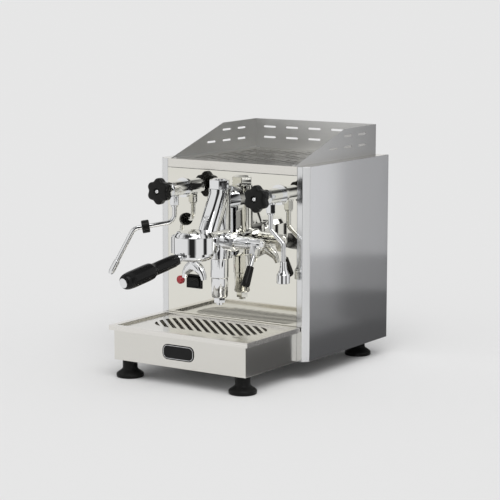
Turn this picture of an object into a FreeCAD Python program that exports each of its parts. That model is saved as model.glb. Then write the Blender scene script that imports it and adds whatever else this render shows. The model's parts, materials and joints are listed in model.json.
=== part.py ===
import FreeCAD, Part
import math
import os
import re
import Sketcher
from FreeCAD import Placement, Rotation, Vector

# Espresso machine with a lever group, a steam wand and a hot water wand.
# Millimetres. X is to the machine's right as seen from the front, -Y points at the
# person who uses it and +Z is up. The origin is on the floor, on the centre line, in the
# plane of the front panel.

doc = FreeCAD.newDocument("espresso_machine")

driving_sizes = {
    # case
    "body_width": 300.0,
    "body_depth": 269.0,
    "foot_height": 30.0,
    "foot_inset": 37.0,
    "front_foot_inset": 19.2,
    "case_height": 323.6,
    "sheet": 1.2,
    "plate": 1.5,
    "chamfer": 9.2,
    "flange_width": 10.3,
    "panel_gap": 0.2,
    "tray_gap": 0.3,
    # feet
    "foot_radius": 23.0,
    "foot_neck_radius": 12.5,
    "stud_radius": 3.0,
    "stud_depth": 16.0,
    # cup tray and rail
    "lip_height": 14.4,
    "rail_rise": 51.0,
    "rail_level": 52.4,
    "rail_slot": 26.0,
    "rail_inset": 24.3,
    "rail_short": 3.0,
    "rail_slope": 106.6,
    "rail_end_gap": 48.5,
    "rail_slot_height": 3.6,
    "rail_slot_pitch": 47.5,
    "rail_low_slot": 19.4,
    "rail_high_slot": 38.4,
    "warm_reach": 96.0,
    "warm_start": 60.0,
    "warm_pitch": 70.0,
    "warm_slot": 5.0,
    "warm_length": 55.0,
    # drip box, basin and grid
    "box_front": 152.2,
    "box_inset": 19.0,
    "rim_over_side": 6.9,
    "rim_over_front": 5.5,
    "box_top": 80.2,
    "rim_height": 8.2,
    "rim_back": 2.0,
    "rim_bar": 8.0,
    "basin_depth": 40.0,
    "basin_play": 1.5,
    "grid_play": 0.5,
    "grid_plate": 2.0,
    "grid_drop": 3.4,
    "grid_slot": 6.6,
    "grid_pitch": 17.0,
    "grid_field_half": 102.0,
    "grid_field_depth": 88.0,
    "field_back": 17.0,
    "field_corner": 40.0,
    "finger_inset": 22.0,
    "finger_length": 15.0,
    "finger_width": 4.0,
    "finger_gap": 7.0,
    "badge_width": 62.4,
    "badge_height": 25.3,
    "badge_z": 56.0,
    "badge_plate": 1.0,
    # brewing group
    "group_y": 33.5,
    "group_radius": 18.0,
    "group_bottom": 201.6,
    "group_top": 313.0,
    "neck_upper": 292.0,
    "neck_lower": 217.0,
    "neck_radius": 15.0,
    "flange_radius": 24.0,
    "flange_plate": 6.0,
    "nose_radius": 17.5,
    "nose_lean": 28.5,
    "nose_length": 72.0,
    "nose_top": 304.0,
    "plug_along": 52.0,
    "plug_depth": 12.0,
    "plug_radius": 5.5,
    "plug_proud": 1.2,
    "bolt_x": 18.0,
    "bolt_radius": 2.5,
    "pipe_hole": 8.0,
    "bell_radius": 38.0,
    "bell_out": 73.2,
    "bell_bottom": 216.0,
    "bell_height": 26.0,
    "bell_wall": 3.0,
    "bell_lip": 3.2,
    "cap_height": 14.5,
    "cap_radius": 18.5,
    "chamber_radius": 15.2,
    "chamber_waist": 33.0,
    "chamber_bottom": 130.5,
    "drain_length": 12.7,
    "drain_radius": 10.4,
    "gasket_bottom": 226.9,
    "gasket_top": 236.0,
    "cam_z": 226.0,
    "boss_radius": 15.5,
    "boss_end": 29.0,
    "bushing_radius": 10.8,
    "bushing_end": 62.0,
    "cam_radius": 4.0,
    "lever_x": 74.0,
    "lever_lean": 28.0,
    "lever_grip_start": 40.0,
    "lever_grip_end": 75.0,
    "hub_radius": 9.5,
    "hub_end": 85.0,
    "arm_thickness": 11.0,
    "arm_width": 15.0,
    "arm_head_length": 20.0,
    "arm_radius": 3.5,
    "grip_radius": 7.4,
    "running": 0.05,
    # portafilter
    "filter_bowl_wall": 2.6,
    "filter_bowl_bottom": 203.0,
    "filter_rim": 226.0,
    "bowl_play": 0.5,
    "bowl_round": 9.0,
    "ear_thickness": 4.5,
    "ear_half": 11.0,
    "basket_depth": 16.0,
    "basket_gap": 3.4,
    "bowl_gap": 5.6,
    "ear_gap": 3.4,
    "screen_gap": 11.0,
    "basket_sheet": 0.8,
    "unlock_turn": 37.0,
    "neck_level": 210.5,
    "neck_radius_bowl": 6.2,
    "handle_slim": 8.5,
    "handle_thick": 14.0,
    "handle_cap_radius": 8.0,
    "rest_turn": 8.0,
    "handle_droop": 11.0,
    "handle_length": 119.0,
    "spout_reach": 21.0,
    "spout_radius": 5.5,
    "spout_bottom": 171.5,
    # valves and wands
    "valve_z": 305.5,
    "valve_inset": 53.0,
    "valve_radius": 12.5,
    "valve_length": 42.0,
    "valve_tail": 7.5,
    "spindle_radius": 4.0,
    "knob_y": 63.0,
    "knob_depth": 15.5,
    "knob_radius": 22.3,
    "lobe_radius": 7.0,
    "nut_y": 27.2,
    "nut_z": 285.6,
    "nut_height": 14.6,
    "nut_radius": 8.6,
    "wand_radius": 4.0,
    "wand_level": 250.0,
    "wand_offset": 24.5,
    "wand_out_x": 53.0,
    "wand_out_y": 44.0,
    "wand_out_drop": 11.0,
    "wand_leg_x": 29.0,
    "wand_leg_y": 24.5,
    "wand_leg_drop": 72.0,
    "wand_grip_share": 0.62,
    "wand_grip_radius": 11.0,
    "wand_grip_length": 13.0,
    "nozzle_radius": 11.0,
    "nozzle_top": 200.0,
    "nozzle_bottom": 164.5,
    # switch and lamp
    "switch_x": 75.3,
    "lamp_gap": 29.2,
    "switch_z": 145.8,
    "switch_width": 31.5,
    "switch_height": 23.7,
    "lamp_radius": 7.3,
    "lamp_tail": 4.5,
    "rocker_play": 1.2,
    "rocker_axis_y": 1.5,
    "rocker_tilt": 7.0,
    # inside
    "boiler_radius": 58.0,
    "boiler_length": 176.0,
    "boiler_y": 86.0,
    "boiler_z": 226.0,
    "boiler_wall": 2.0,
    "tank_depth": 80.0,
    "tank_gap": 13.0,
    "tank_inset": 42.0,
    "tank_top_gap": 29.6,
    "tank_bottom": 62.0,
    "tank_wall": 2.5,
    "pipe_radius": 5.0,
    "element_hole": 20.0,
    "exchanger_radius": 15.0,
    "boss_outer": 7.5,
    "cradle_x": 42.0,
    "cradle_thickness": 6.0,
    "fitting_x": 50.0,
    "pump_x": 74.0,
    "pump_front": 56.0,
    "pump_length": 88.0,
    "pump_rise": 42.0,
    "control_top": 120.0,
    "control_width": 64.0,
    "control_depth": 100.0,
    "control_front": 50.0,
    "control_inset": 14.0,
    "control_wall": 2.0,
    "inlet_z": 62.0,
    "inlet_inset": 54.0,
    "inlet_width": 28.0,
    "inlet_height": 22.0,
    "inlet_depth": 9.0,
    "vent_x": 62.0,
    "vent_z": 150.0,
    "vent_length": 70.0,
    "vent_height": 4.0,
    "vent_pitch": 12.0,
    "screw_radius": 2.0,
}

# Sizes that follow from others, so that a changed size takes its neighbours with it.
tied_sizes = {
    "foot_x": "body_width / 2 - foot_inset",
    "front_foot_y": "box_front - front_foot_inset",
    "back_foot_y": "body_depth - foot_inset",
    "rail_x": "body_width / 2 - rail_inset",
    "rail_back": "body_depth - rail_short",
    "rail_kink": "rail_back - rail_slope",
    "rail_last_slot": "rail_back - rail_end_gap",
    "box_half": "body_width / 2 - box_inset",
    "rim_half": "box_half + rim_over_side",
    "rim_front": "box_front + rim_over_front",
    "bell_y": "group_y + bell_out",
    "filter_bowl_radius": "bell_radius - bowl_gap",
    "ear_reach": "bell_radius - ear_gap",
    "screen_radius": "bell_radius - screen_gap",
    "basket_radius": "filter_bowl_radius - basket_gap",
    "saddle_half": "bell_radius / 2",
    "neck_start": "filter_bowl_radius - 2 * filter_bowl_wall - 0.2",
    "handle_start": "bell_radius + 4",
    "handle_end": "handle_start + handle_length",
    "chamber_step": "chamber_bottom + chamber_waist",
    "valve_x": "body_width / 2 - valve_inset",
    "lamp_x": "switch_x + lamp_gap",
    "tank_front": "body_depth - tank_gap - tank_depth",
    "tank_half": "body_width / 2 - tank_inset",
    "tank_height": "foot_height + case_height - tank_top_gap - tank_bottom",
    "pump_z": "foot_height + pump_rise",
    "inlet_x": "body_width / 2 - inlet_inset",
}

sheet = doc.addObject("Spreadsheet::Sheet", "sizes")
for row, (alias, value) in enumerate(driving_sizes.items(), 1):
    sheet.set(f"A{row}", alias)
    sheet.set(f"B{row}", str(value))
    sheet.setAlias(f"B{row}", alias)
for row, (alias, text) in enumerate(tied_sizes.items(), len(driving_sizes) + 1):
    sheet.set(f"A{row}", alias)
    sheet.set(f"B{row}", "=" + text)
    sheet.setAlias(f"B{row}", alias)
doc.recompute()

pieces = []
along = {
    "x": Rotation(Vector(0, 1, 0), 90),
    "-x": Rotation(Vector(0, 1, 0), -90),
    "y": Rotation(Vector(1, 0, 0), -90),
    "-y": Rotation(Vector(1, 0, 0), 90),
    "z": Rotation(),
    "-z": Rotation(Vector(1, 0, 0), 180),
}


def formula(text):
    """Write the aliases in a formula as cells of the sheet."""
    def cell(word):
        return "sizes." + word.group() if word.group() in {**driving_sizes, **tied_sizes} else word.group()
    return re.sub(r"[a-z]+(?:_[a-z]+)*", cell, str(text))


def number(text):
    return float(sheet.evalExpression(formula(text)))


def place(item, at, turn=Rotation()):
    item.Placement = Placement(Vector(*(number(text) for text in at)), turn)
    for axis, text in zip("xyz", at):
        item.setExpression(f".Placement.Base.{axis}", formula(text))
    return item


def block(name, x, y, z):
    """A box between two formulas along each axis."""
    item = doc.addObject("Part::Box", name)
    for side, (low, high) in zip(("Length", "Width", "Height"), (x, y, z)):
        item.setExpression(side, formula(f"({high}) - ({low})"))
    return place(item, (x[0], y[0], z[0]))


def rod(name, radius, length, at, way="z"):
    item = doc.addObject("Part::Cylinder", name)
    item.setExpression("Radius", formula(radius))
    item.setExpression("Height", formula(length))
    turn = along[way] if isinstance(way, str) else way
    return place(item, at, turn)


def taper(name, start, end, length, at, way="z"):
    item = doc.addObject("Part::Cone", name)
    item.setExpression("Radius1", formula(start))
    item.setExpression("Radius2", formula(end))
    item.setExpression("Height", formula(length))
    turn = along[way] if isinstance(way, str) else way
    return place(item, at, turn)


def hexagon(name, corner, length, at, way="z"):
    item = doc.addObject("Part::Prism", name)
    item.Polygon = 6
    item.setExpression("Circumradius", formula(corner))
    item.setExpression("Height", formula(length))
    return place(item, at, along[way] if isinstance(way, str) else way)


def fuse(name, items):
    item = doc.addObject("Part::MultiFuse", name)
    item.Shapes = items
    item.Refine = True
    return item


def group_of(name, items):
    item = doc.addObject("Part::Compound", name)
    item.Links = items
    return item


def cut(name, base, tools):
    item = doc.addObject("Part::Cut", name)
    item.Base = base
    item.Tool = tools[0] if len(tools) == 1 else fuse(name + "_tools", tools)
    item.Refine = True
    return item


def mirror(name, source):
    item = doc.addObject("Part::Mirroring", name)
    item.Source = source
    item.Base = Vector(0, 0, 0)
    item.Normal = Vector(1, 0, 0)
    return item


def piece(item):
    """Keep an object as a sub-part of its own, named by its label."""
    item.Label = item.Name
    pieces.append(item)
    return item


def new_body(name):
    return doc.addObject("PartDesign::Body", name)


def plane_sketch(body, plane, name, offset="0"):
    """A sketch on one of the body's origin planes, moved along its normal."""
    base = next(f for f in body.Origin.OriginFeatures if f.Role == plane + "_Plane")
    sketch = body.newObject("Sketcher::SketchObject", name)
    sketch.AttachmentSupport = (base, "")
    sketch.MapMode = "FlatFace"
    if offset != "0":
        sketch.setExpression(".AttachmentOffset.Base.z", formula(offset))
    return sketch


def tie(sketch, kind, spot, text):
    """Hold a point or a radius at a formula's value."""
    index = sketch.addConstraint(Sketcher.Constraint(kind, *spot, number(text)))
    sketch.setExpression(f"Constraints[{index}]", formula(text))


def tie_point(sketch, edge, end, x, y):
    for kind, text, axis in (("DistanceX", x, -2), ("DistanceY", y, -1)):
        if str(text) == "0":
            sketch.addConstraint(Sketcher.Constraint("PointOnObject", edge, end, axis))
        else:
            tie(sketch, kind, (-1, 1, edge, end), text)


def outline(sketch, points):
    """A closed outline of points (x, y). A point (x, y, bend) is reached by an arc of
    radius |bend|, on the left of the way when bend is positive."""
    spots = [Vector(number(p[0]), number(p[1]), 0) for p in points]
    ends = []
    for index, point in enumerate(points):
        start, end = spots[index - 1], spots[index]
        if len(point) == 2:
            edge = sketch.addGeometry(Part.LineSegment(start, end), False)
            ends.append((edge, 1, 2))
            continue
        radius = number(point[2])
        chord = end - start
        left = Vector(-chord.y, chord.x, 0).normalize() * math.copysign(1, radius)
        reach = math.sqrt(max(radius ** 2 - (chord.Length / 2) ** 2, 0))
        centre = (start + end) * 0.5 - left * reach
        first, last = (end, start) if radius > 0 else (start, end)
        angles = [math.atan2(p.y - centre.y, p.x - centre.x) for p in (first, last)]
        if angles[1] < angles[0]:
            angles[1] += 2 * math.pi
        circle = Part.Circle(centre, Vector(0, 0, 1), abs(radius))
        edge = sketch.addGeometry(Part.ArcOfCircle(circle, *angles), False)
        ends.append((edge, 2, 1) if radius > 0 else (edge, 1, 2))
        tie(sketch, "Radius", (edge,), point[2].lstrip("-"))
    for index, point in enumerate(points):
        edge, _, last = ends[index]
        following, first, _ = ends[(index + 1) % len(points)]
        sketch.addConstraint(Sketcher.Constraint("Coincident", edge, last, following, first))
        tie_point(sketch, edge, last, point[0], point[1])


def circle(sketch, x, y, radius):
    centre = Vector(number(x), number(y), 0)
    edge = sketch.addGeometry(Part.Circle(centre, Vector(0, 0, 1), number(radius)), False)
    tie_point(sketch, edge, 3, x, y)
    tie(sketch, "Radius", (edge,), radius)


def rectangle(sketch, x, y, width, height):
    half_x, half_y = f"({width}) / 2", f"({height}) / 2"
    outline(sketch, [
        (f"{x} - {half_x}", f"{y} - {half_y}"),
        (f"{x} + {half_x}", f"{y} - {half_y}"),
        (f"{x} + {half_x}", f"{y} + {half_y}"),
        (f"{x} - {half_x}", f"{y} + {half_y}"),
    ])


def level_slot(sketch, x, y, length, height):
    """A slot with round ends, level in the sketch."""
    flat = f"(({length}) - ({height})) / 2"
    middle, half, end = number(x), number(flat), number(height) / 2
    level = number(y)
    up = Vector(0, 0, 1)
    arcs = []
    for side, first in ((-1, math.pi / 2), (1, -math.pi / 2)):
        round_end = Part.Circle(Vector(middle + side * half, level, 0), up, end)
        arcs.append(sketch.addGeometry(Part.ArcOfCircle(round_end, first, first + math.pi), False))
    lines = []
    for side in (1, -1):
        start = Vector(middle - half, level + side * end, 0)
        lines.append(sketch.addGeometry(Part.LineSegment(start, start + Vector(2 * half, 0, 0))))
    left, right = arcs
    top, bottom = lines
    for joint in ((left, 1, top, 1), (left, 2, bottom, 1), (right, 2, top, 2), (right, 1, bottom, 2)):
        sketch.addConstraint(Sketcher.Constraint("Tangent", *joint))
    tie(sketch, "Radius", (left,), f"({height}) / 2")
    sketch.addConstraint(Sketcher.Constraint("Equal", left, right))
    tie_point(sketch, left, 3, f"({x}) - {flat}", y)
    tie_point(sketch, right, 3, f"({x}) + {flat}", y)


def pad(body, sketch, length, both=False, back=False):
    feature = body.newObject("PartDesign::Pad", sketch.Name + "_pad")
    feature.Profile = sketch
    feature.setExpression("Length", formula(length))
    feature.Midplane = both
    feature.Reversed = back
    return feature


def pocket(body, sketch, length, both=False, back=False):
    feature = body.newObject("PartDesign::Pocket", sketch.Name + "_pocket")
    feature.Profile = sketch
    feature.setExpression("Length", formula(length))
    feature.Midplane = both
    feature.Reversed = back
    return feature


def lathe(name, points, at, turn=Rotation()):
    """A body turned about its own Z axis from an outline of (radius, height) points."""
    body = new_body(name)
    sketch = plane_sketch(body, "XZ", name + "_profile")
    outline(sketch, points)
    turned = body.newObject("PartDesign::Revolution", name + "_turned")
    turned.Profile = sketch
    turned.ReferenceAxis = (sketch, ["V_Axis"])
    turned.Angle = 360
    return place(body, at, turn)


def bent_rod(name, points, radius, bend):
    """A round bar or pipe: straight runs through the points, joined by tangent arcs."""
    spots = [Vector(*(number(text) for text in point)) for point in points]
    size = number(bend)
    edges = []
    here = spots[0]
    for before, corner, after in zip(spots, spots[1:], spots[2:]):
        into = (corner - before).normalize()
        out = (after - corner).normalize()
        half_turn = into.getAngle(out) / 2
        back_off = size * math.tan(half_turn)
        start, end = corner - into * back_off, corner + out * back_off
        bisector = (out - into).normalize()
        middle = corner + bisector * (size / math.cos(half_turn) - size)
        edges += [Part.LineSegment(here, start).toShape(), Part.Arc(start, middle, end).toShape()]
        here = end
    edges.append(Part.LineSegment(here, spots[-1]).toShape())
    path = doc.addObject("Part::Feature", name + "_path")
    path.Shape = Part.Wire(edges)
    section = doc.addObject("Part::Circle", name + "_section")
    section.setExpression("Radius", formula(radius))
    section.Placement = Placement(spots[0], Rotation(Vector(0, 0, 1), spots[1] - spots[0]))
    swept = doc.addObject("Part::Sweep", name)
    swept.Sections = [section]
    swept.Spine = (path, [f"Edge{n}" for n in range(1, len(edges) + 1)])
    swept.Solid = True
    return swept


def polar(body, feature, sketch, count):
    pattern = body.newObject("PartDesign::PolarPattern", feature.Name + "_around")
    pattern.Originals = [feature]
    pattern.Axis = (sketch, ["N_Axis"])
    pattern.Angle = 360
    pattern.Occurrences = count
    body.Tip = pattern


def row_of(body, feature, sketch, axis, length, count):
    pattern = body.newObject("PartDesign::LinearPattern", feature.Name + "_row")
    pattern.Originals = [feature]
    pattern.Direction = (sketch, [axis])
    pattern.setExpression("Length", formula(length))
    pattern.Occurrences = count
    body.Tip = pattern


# Places that several sub-parts share.
case_half = "body_width / 2"
case_top = "(foot_height + case_height)"
panel_half = "(body_width / 2 - chamfer - flange_width - panel_gap)"
inner_half = "(body_width / 2 - sheet - panel_gap)"
back_face = "(body_depth - sheet)"
inner_back = "(body_depth - sheet - panel_gap)"
floor_top = "(foot_height + plate)"
frame_top = f"({case_top} - plate - 0.1)"
lip_bottom = f"({case_top} - lip_height)"
seat = "(box_top + rim_height - sheet)"
feet_spots = [(side, y) for side in ("-", "") for y in ("-front_foot_y", "back_foot_y")]


def side_panels():
    """Wrapped side sheets with a 45 degree front corner and a front flange."""
    body = new_body("right_side_panel")
    sketch = plane_sketch(body, "XY", "side_section", "foot_height + panel_gap")
    corner = "sheet * tan(22.5)"
    outline(sketch, [
        (case_half, "chamfer"),
        (case_half, "body_depth"),
        (f"{case_half} - flange_width", "body_depth"),
        (f"{case_half} - flange_width", back_face),
        (f"{case_half} - sheet", back_face),
        (f"{case_half} - sheet", f"chamfer + {corner}"),
        (f"{case_half} - chamfer - {corner}", "sheet"),
        (f"{case_half} - chamfer - flange_width", "sheet"),
        (f"{case_half} - chamfer - flange_width", "0"),
        (f"{case_half} - chamfer", "0"),
    ])
    pad(body, sketch, "case_height - panel_gap")
    piece(body)
    piece(mirror("left_side_panel", body))


def front_panel():
    """Polished front sheet with the openings for group, valves, switch and lamp."""
    body = new_body("front_panel")
    bottom = f"({floor_top} + panel_gap)"
    top = f"({lip_bottom} - 0.8)"
    face = plane_sketch(body, "XZ", "front_face")
    rectangle(face, "0", f"({bottom} + {top}) / 2", f"2 * {panel_half}", f"{top} - {bottom}")
    pad(body, face, "sheet", back=True)
    holes = plane_sketch(body, "XZ", "front_holes")
    for side in ("-", ""):
        circle(holes, f"{side}valve_x", "valve_z", "valve_tail + panel_gap")
        for level in ("neck_upper", "neck_lower"):
            circle(holes, f"{side}bolt_x", level, "bolt_radius + panel_gap")
    for level in ("neck_upper", "neck_lower"):
        circle(holes, "0", level, "pipe_hole")
    circle(holes, "-lamp_x", "switch_z", "lamp_tail + panel_gap")
    rectangle(holes, "-switch_x", "switch_z", "switch_width - 4", "switch_height - 4")
    pocket(body, holes, "4 * sheet", both=True)
    piece(body)


def back_panel():
    """Rear sheet with air slots and the opening of the power inlet."""
    body = new_body("back_panel")
    half = f"({case_half} - flange_width - panel_gap)"
    bottom, top = f"({floor_top} + panel_gap)", frame_top
    face = plane_sketch(body, "XZ", "back_face", "-body_depth")
    rectangle(face, "0", f"({bottom} + {top}) / 2", f"2 * {half}", f"{top} - {bottom}")
    pad(body, face, "sheet")
    inlet = plane_sketch(body, "XZ", "inlet_opening", f"-{back_face}")
    rectangle(inlet, "inlet_x", "inlet_z", "inlet_width + 2 * panel_gap", "inlet_height + 2 * panel_gap")
    pocket(body, inlet, "4 * sheet", both=True)
    slot_sketch = plane_sketch(body, "XZ", "air_slot", f"-{back_face}")
    for side in ("-", ""):
        level_slot(slot_sketch, f"{side}vent_x", "vent_z", "vent_length", "vent_height")
    slots = pocket(body, slot_sketch, "4 * sheet", both=True)
    row_of(body, slots, slot_sketch, "V_Axis", "7 * vent_pitch", 8)
    piece(body)


def chassis_frame():
    """Floor pan, corner posts, top ring and tank shelf, welded into one frame."""
    parts = [
        block("floor", (f"-{inner_half}", inner_half), ("chamfer + 1", inner_back), ("foot_height", floor_top)),
        block("front_floor", ("-(box_half - sheet - panel_gap)", "box_half - sheet - panel_gap"),
              ("-(box_front - sheet - panel_gap)", "chamfer + 2"), ("foot_height", floor_top)),
        block("shelf", ("-(tank_half + 4)", "tank_half + 4"), ("tank_front - 3", "tank_front + tank_depth + 3"),
              ("tank_bottom - plate", "tank_bottom")),
    ]
    corner = "(chamfer + 1)"
    for side in ("-", ""):
        def wide(low, high):
            return (f"-({high})", f"-({low})") if side else (low, high)
        name = "left" if side else "right"
        stand = (floor_top, frame_top)
        parts += [
            block(name + "_foot_flange", wide(f"{inner_half} - plate", inner_half),
                  (corner, inner_back), (floor_top, f"{floor_top} + 14")),
            block(name + "_front_leaf", wide(f"{panel_half} - 5", f"{panel_half} + 4"),
                  ("sheet + 0.1", "sheet + 0.1 + plate"), stand),
            block(name + "_front_web", wide(f"{panel_half} + 4 - plate", f"{panel_half} + 4"),
                  ("sheet + 0.1", f"{corner} + plate"), stand),
            block(name + "_front_cross", wide(f"{panel_half} + 4 - plate", inner_half),
                  (corner, f"{corner} + plate"), stand),
            block(name + "_front_side", wide(f"{inner_half} - plate", inner_half), (corner, f"{corner} + 16"), stand),
            block(name + "_back_leaf", wide(f"{inner_half} - 20", inner_half),
                  (f"{inner_back} - plate", inner_back), stand),
            block(name + "_back_side", wide(f"{inner_half} - plate", inner_half),
                  (f"{inner_back} - 16", inner_back), stand),
            block(name + "_top_bar", wide(f"{inner_half} - 12", inner_half), (corner, inner_back),
                  (f"{frame_top} - plate", frame_top)),
            block(name + "_shelf_leg", wide("tank_half - 15", "tank_half - 15 + plate"),
                  ("tank_front - 3", "tank_front + tank_depth + 3"), (floor_top, "tank_bottom - plate")),
        ]
    parts += [
        block("back_top_bar", (f"-{inner_half}", inner_half), (f"{inner_back} - 12", inner_back),
              (f"{frame_top} - plate", frame_top)),
        block("front_top_bar", (f"-({panel_half} + 4)", f"{panel_half} + 4"), ("sheet + 0.1", "sheet + 0.1 + plate"),
              (f"{frame_top} - 10", frame_top)),
    ]
    frame = fuse("frame_welded", parts)
    holes = [rod(f"foot_hole_{n}", "stud_radius + panel_gap", "3 * plate",
                 (f"{side}foot_x", y, "foot_height - plate")) for n, (side, y) in enumerate(feet_spots)]
    piece(cut("chassis_frame", frame, holes))


def feet():
    rubber, bolts = [], []
    for n, (side, y) in enumerate(feet_spots):
        at = (f"{side}foot_x", y, "0")
        solid = lathe(f"foot_{n}", [
            ("0", "0"),
            ("foot_radius", "0"),
            ("foot_radius", "6"),
            ("foot_neck_radius", "14"),
            ("foot_neck_radius", "foot_height"),
            ("stud_radius + running", "foot_height"),
            ("stud_radius + running", "foot_height - stud_depth"),
            ("0", "foot_height - stud_depth"),
        ], at)
        rubber.append(solid)
        low = "foot_height - stud_depth + running"
        shank = rod(f"stud_{n}", "stud_radius", f"{floor_top} - ({low})", (at[0], y, low))
        head = hexagon(f"stud_head_{n}", "2 * stud_radius", "4.5", (at[0], y, floor_top))
        bolts.append(fuse(f"foot_bolt_{n}", [shank, head]))
    piece(group_of("rubber_feet", rubber))
    piece(group_of("foot_bolts", bolts))


def screws():
    heads = []
    for side in ("-", ""):
        for n, level in enumerate(("0.12", "0.5", "0.88")):
            at = (f"{side}({case_half} - flange_width / 2)", "body_depth",
                  f"foot_height + {level} * case_height")
            heads.append(taper(f"screw_{'left' if side else 'right'}_{n}",
                               "1.7 * screw_radius", "1.1 * screw_radius", "screw_radius", at, "y"))
    piece(group_of("panel_screws", heads))
    bolts = []
    for side in ("-", ""):
        for level in ("neck_upper", "neck_lower"):
            name = f"{'left' if side else 'right'}_{level}"
            shank = rod(name + "_shank", "bolt_radius", "flange_plate - 1 + sheet",
                        (f"{side}bolt_x", "-(flange_plate - 1)", level), "y")
            head = hexagon(name + "_head", "1.9 * bolt_radius", "4", (f"{side}bolt_x", "sheet", level), "y")
            bolts.append(fuse(name + "_bolt", [shank, head]))
    piece(group_of("group_bolts", bolts))


def drip_box():
    """Front housing that the basin hangs in, and its plain badge plate."""
    top = f"{seat} - 0.1"
    shell = block("box_outside", ("-box_half", "box_half"), ("-box_front", "-panel_gap"),
                  ("foot_height + panel_gap", top))
    hollow = block("box_inside", ("-(box_half - sheet)", "box_half - sheet"),
                   ("-(box_front - sheet)", "sheet"), ("foot_height - 1", f"{top} + 1"))
    notch = block("rim_notch", ("-(box_half + 1)", "box_half + 1"), ("-(rim_back + 2 * sheet)", "1"),
                  ("box_top - 0.1", f"{top} + 1"))
    piece(cut("drip_box", shell, [hollow, notch]))
    body = new_body("badge_plate")
    face = plane_sketch(body, "XZ", "badge_face", "box_front")
    rectangle(face, "0", "badge_z", "badge_width", "badge_height")
    pad(body, face, "badge_plate")
    piece(body)


def drip_basin():
    """Basin with a folded rim that rests on the drip box, and a ledge for the grid."""
    half = "(box_half - sheet - basin_play)"
    front = "(box_front - sheet - basin_play)"
    back = "(rim_back + rim_bar)"
    rim_top = "(box_top + rim_height)"
    rim = block("rim_outside", ("-rim_half", "rim_half"), ("-rim_front", "-rim_back"), ("box_top", rim_top))
    under = block("rim_under", ("-(rim_half - sheet)", "rim_half - sheet"),
                  ("-(rim_front - sheet)", "-(rim_back + sheet)"), ("box_top - 1", seat))
    pan = block("pan_outside", (f"-{half}", half), (f"-{front}", f"-{back}"),
                (f"{seat} - basin_depth", f"{seat} + sheet / 2"))
    ledge_level = f"({rim_top} - grid_drop - grid_plate - 0.1)"
    deep = block("pan_deep", (f"-({half} - sheet)", f"{half} - sheet"),
                 (f"-({front} - sheet)", f"-({back} + sheet)"),
                 (f"{seat} - basin_depth + sheet", f"{ledge_level} - sheet"))
    mouth = block("pan_mouth", (f"-({half} - 5)", f"{half} - 5"), (f"-({front} - 5)", f"-({back} + 5)"),
                  (f"{ledge_level} - 3 * sheet", f"{rim_top} + 1"))
    top = block("grid_seat", (f"-({half} - sheet)", f"{half} - sheet"),
                (f"-({front} - sheet)", f"-({back} + sheet)"), (ledge_level, f"{rim_top} + 1"))
    folded = cut("rim_folded", rim, [under])
    joined = fuse("basin_joined", [folded, pan])
    piece(cut("drip_basin", joined, [deep, mouth, top]))


def drip_grid():
    """Grid plate with a round-cornered field of diagonal slots and a finger slot."""
    half = "(box_half - 2 * sheet - basin_play - grid_play)"
    front = "(box_front - 2 * sheet - basin_play - grid_play)"
    back = "(rim_back + rim_bar + sheet + grid_play)"
    low = "(box_top + rim_height - grid_drop - grid_plate)"
    plate = block("grid_blank", (f"-{half}", half), (f"-{front}", f"-{back}"), (low, f"{low} + grid_plate"))
    field = new_body("slot_field")
    shape = plane_sketch(field, "XY", "field_shape", f"{low} - 1")
    far, near = "-field_back", "-(field_back + grid_field_depth)"
    bend = "field_corner"
    outline(shape, [
        (f"grid_field_half - {bend}", near),
        ("grid_field_half", f"{near} + {bend}", f"-{bend}"),
        ("grid_field_half", f"{far} - {bend}"),
        (f"grid_field_half - {bend}", far, f"-{bend}"),
        (f"-(grid_field_half - {bend})", far),
        ("-grid_field_half", f"{far} - {bend}", f"-{bend}"),
        ("-grid_field_half", f"{near} + {bend}"),
        (f"-(grid_field_half - {bend})", near, f"-{bend}"),
    ])
    pad(field, shape, "grid_plate + 2")
    reach = number("grid_field_half + grid_field_depth / 2")
    each_side = int(reach // number("grid_pitch"))
    bars = []
    for n in range(-each_side, each_side + 1):
        bar = doc.addObject("Part::Box", "slot_bar")
        bar.setExpression("Length", formula("2 * grid_field_depth"))
        bar.setExpression("Width", formula("grid_slot"))
        bar.setExpression("Height", formula("grid_plate + 2"))
        run = f"({n} * grid_pitch - (2 * grid_field_depth + grid_slot) / (2 * sqrt(2)))"
        level = "(-(field_back + grid_field_depth / 2) + (2 * grid_field_depth - grid_slot) / (2 * sqrt(2)))"
        place(bar, (run, level, f"{low} - 1"), Rotation(Vector(0, 0, 1), -45))
        bars.append(bar)
    slots = doc.addObject("Part::Common", "slots")
    slots.Base = field
    slots.Tool = group_of("slot_bars", bars)
    finger = block("finger_slot", ("grid_field_half - finger_inset", "grid_field_half - finger_inset + finger_length"),
                   ("-(field_back + grid_field_depth + finger_gap + finger_width)",
                    "-(field_back + grid_field_depth + finger_gap)"),
                   (f"{low} - 1", f"{low} + grid_plate + 1"))
    piece(cut("drip_grid", plate, [slots, finger]))


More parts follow.
